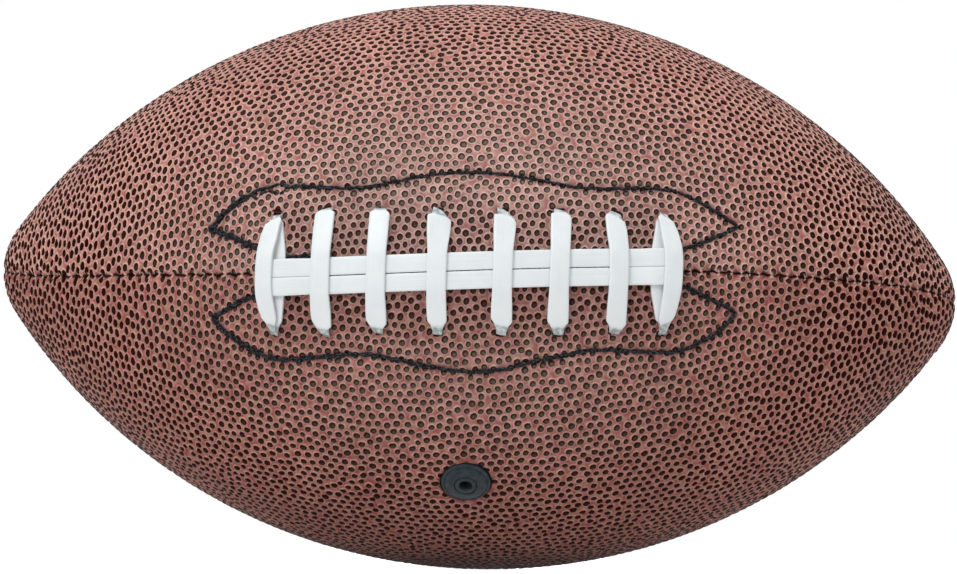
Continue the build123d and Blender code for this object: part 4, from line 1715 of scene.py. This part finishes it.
@dataclass(frozen=True)
class Studio:
    """White floor and backdrop, soft light from above, and the camera of the photograph."""

    floor_z: float
    floor_half: float = 6.0
    ambient: float = 0.44
    lamps: tuple[Lamp, ...] = (Lamp("overhead", (0.0, -0.35, 1.5), 1.6, 11.8),
                               Lamp("front", (-0.8, -1.6, 1.1), 0.6, 14.0))
    distance: float = 1.4
    azimuth: float = math.radians(1.4)
    elevation: float = math.radians(-3.2)
    roll: float = math.radians(2.23)
    lens: float = 175.6
    sensor: float = 36.0
    nearest: float = 0.01  # that the camera sees

    def floor(self) -> None:
        """Lays a pale floor that looks white and still takes the ball's shadow."""
        corners = [(x * self.floor_half, y * self.floor_half, self.floor_z)
                   for x, y in ((-1, -1), (1, -1), (1, 1), (-1, 1))]
        mesh = bpy.data.meshes.new("floor")
        mesh.from_pydata(corners, [], [(0, 1, 2, 3)])
        mesh.materials.append(WhitePaper().material())
        floor = bpy.data.objects.new("floor", mesh)
        bpy.context.scene.collection.objects.link(floor)
        floor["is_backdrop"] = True

    def world(self) -> None:
        """Makes the backdrop white to the eye and a plain soft light to the ball."""
        world = bpy.data.worlds.new("studio")
        bpy.context.scene.world = world
        world.use_nodes = True
        tree = world.node_tree
        tree.nodes.clear()
        strength = add(tree, "MapRange", None, Ramp(0.0, 1.0, self.ambient, 1.0).of(seen(tree)))
        glow = add(tree, "Background", None, {"Color": linear(WHITE), "Strength": strength})
        add(tree, "OutputWorld", None, {"Surface": glow})

    def camera(self) -> None:
        """Sets the camera where the photograph was taken from."""
        flat = math.cos(self.elevation)
        away = Vector((math.sin(self.azimuth) * flat, -math.cos(self.azimuth) * flat,
                       math.sin(self.elevation)))
        data = bpy.data.cameras.new("camera")
        data.sensor_fit = "HORIZONTAL"
        data.sensor_width = self.sensor
        data.lens = self.lens
        data.clip_start = self.nearest
        camera = bpy.data.objects.new("camera", data)
        aim = (-away).to_track_quat("-Z", "Y").to_matrix().to_4x4()
        turn = Matrix.Rotation(self.roll, 4, "Z")
        camera.matrix_world = Matrix.Translation(away * self.distance) @ aim @ turn
        bpy.context.scene.collection.objects.link(camera)
        bpy.context.scene.camera = camera

    def build(self) -> None:
        """Builds the floor, the light and the camera."""
        self.floor()
        self.world()
        for lamp in self.lamps:
            lamp.hang()
        self.camera()
        bpy.context.scene.view_settings.view_transform = "Standard"


def main() -> None:
    """Builds the football piece by piece."""
    logging.basicConfig(level=logging.INFO, format="%(message)s")
    _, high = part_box("panel_upper_rear")
    ball = BallShape(half_length=high[0] / MM, radius=high[2] / MM)
    Cover(ball, PebbledLeather().material()).build()
    lace = VinylLace().material()
    Lace(ball, lace).build()
    FacingStitch(ball, Thread("waxed_thread", "#070708", "#4a4f55", 0.45).material()).build()
    Valve(ball).build()
    HiddenPieces(lace).build()
    boxes = {"cad": CAD_BOX, "visual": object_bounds()}
    Studio(floor_z=boxes["visual"][0][2]).build()


if __name__ == "__main__":
    main()
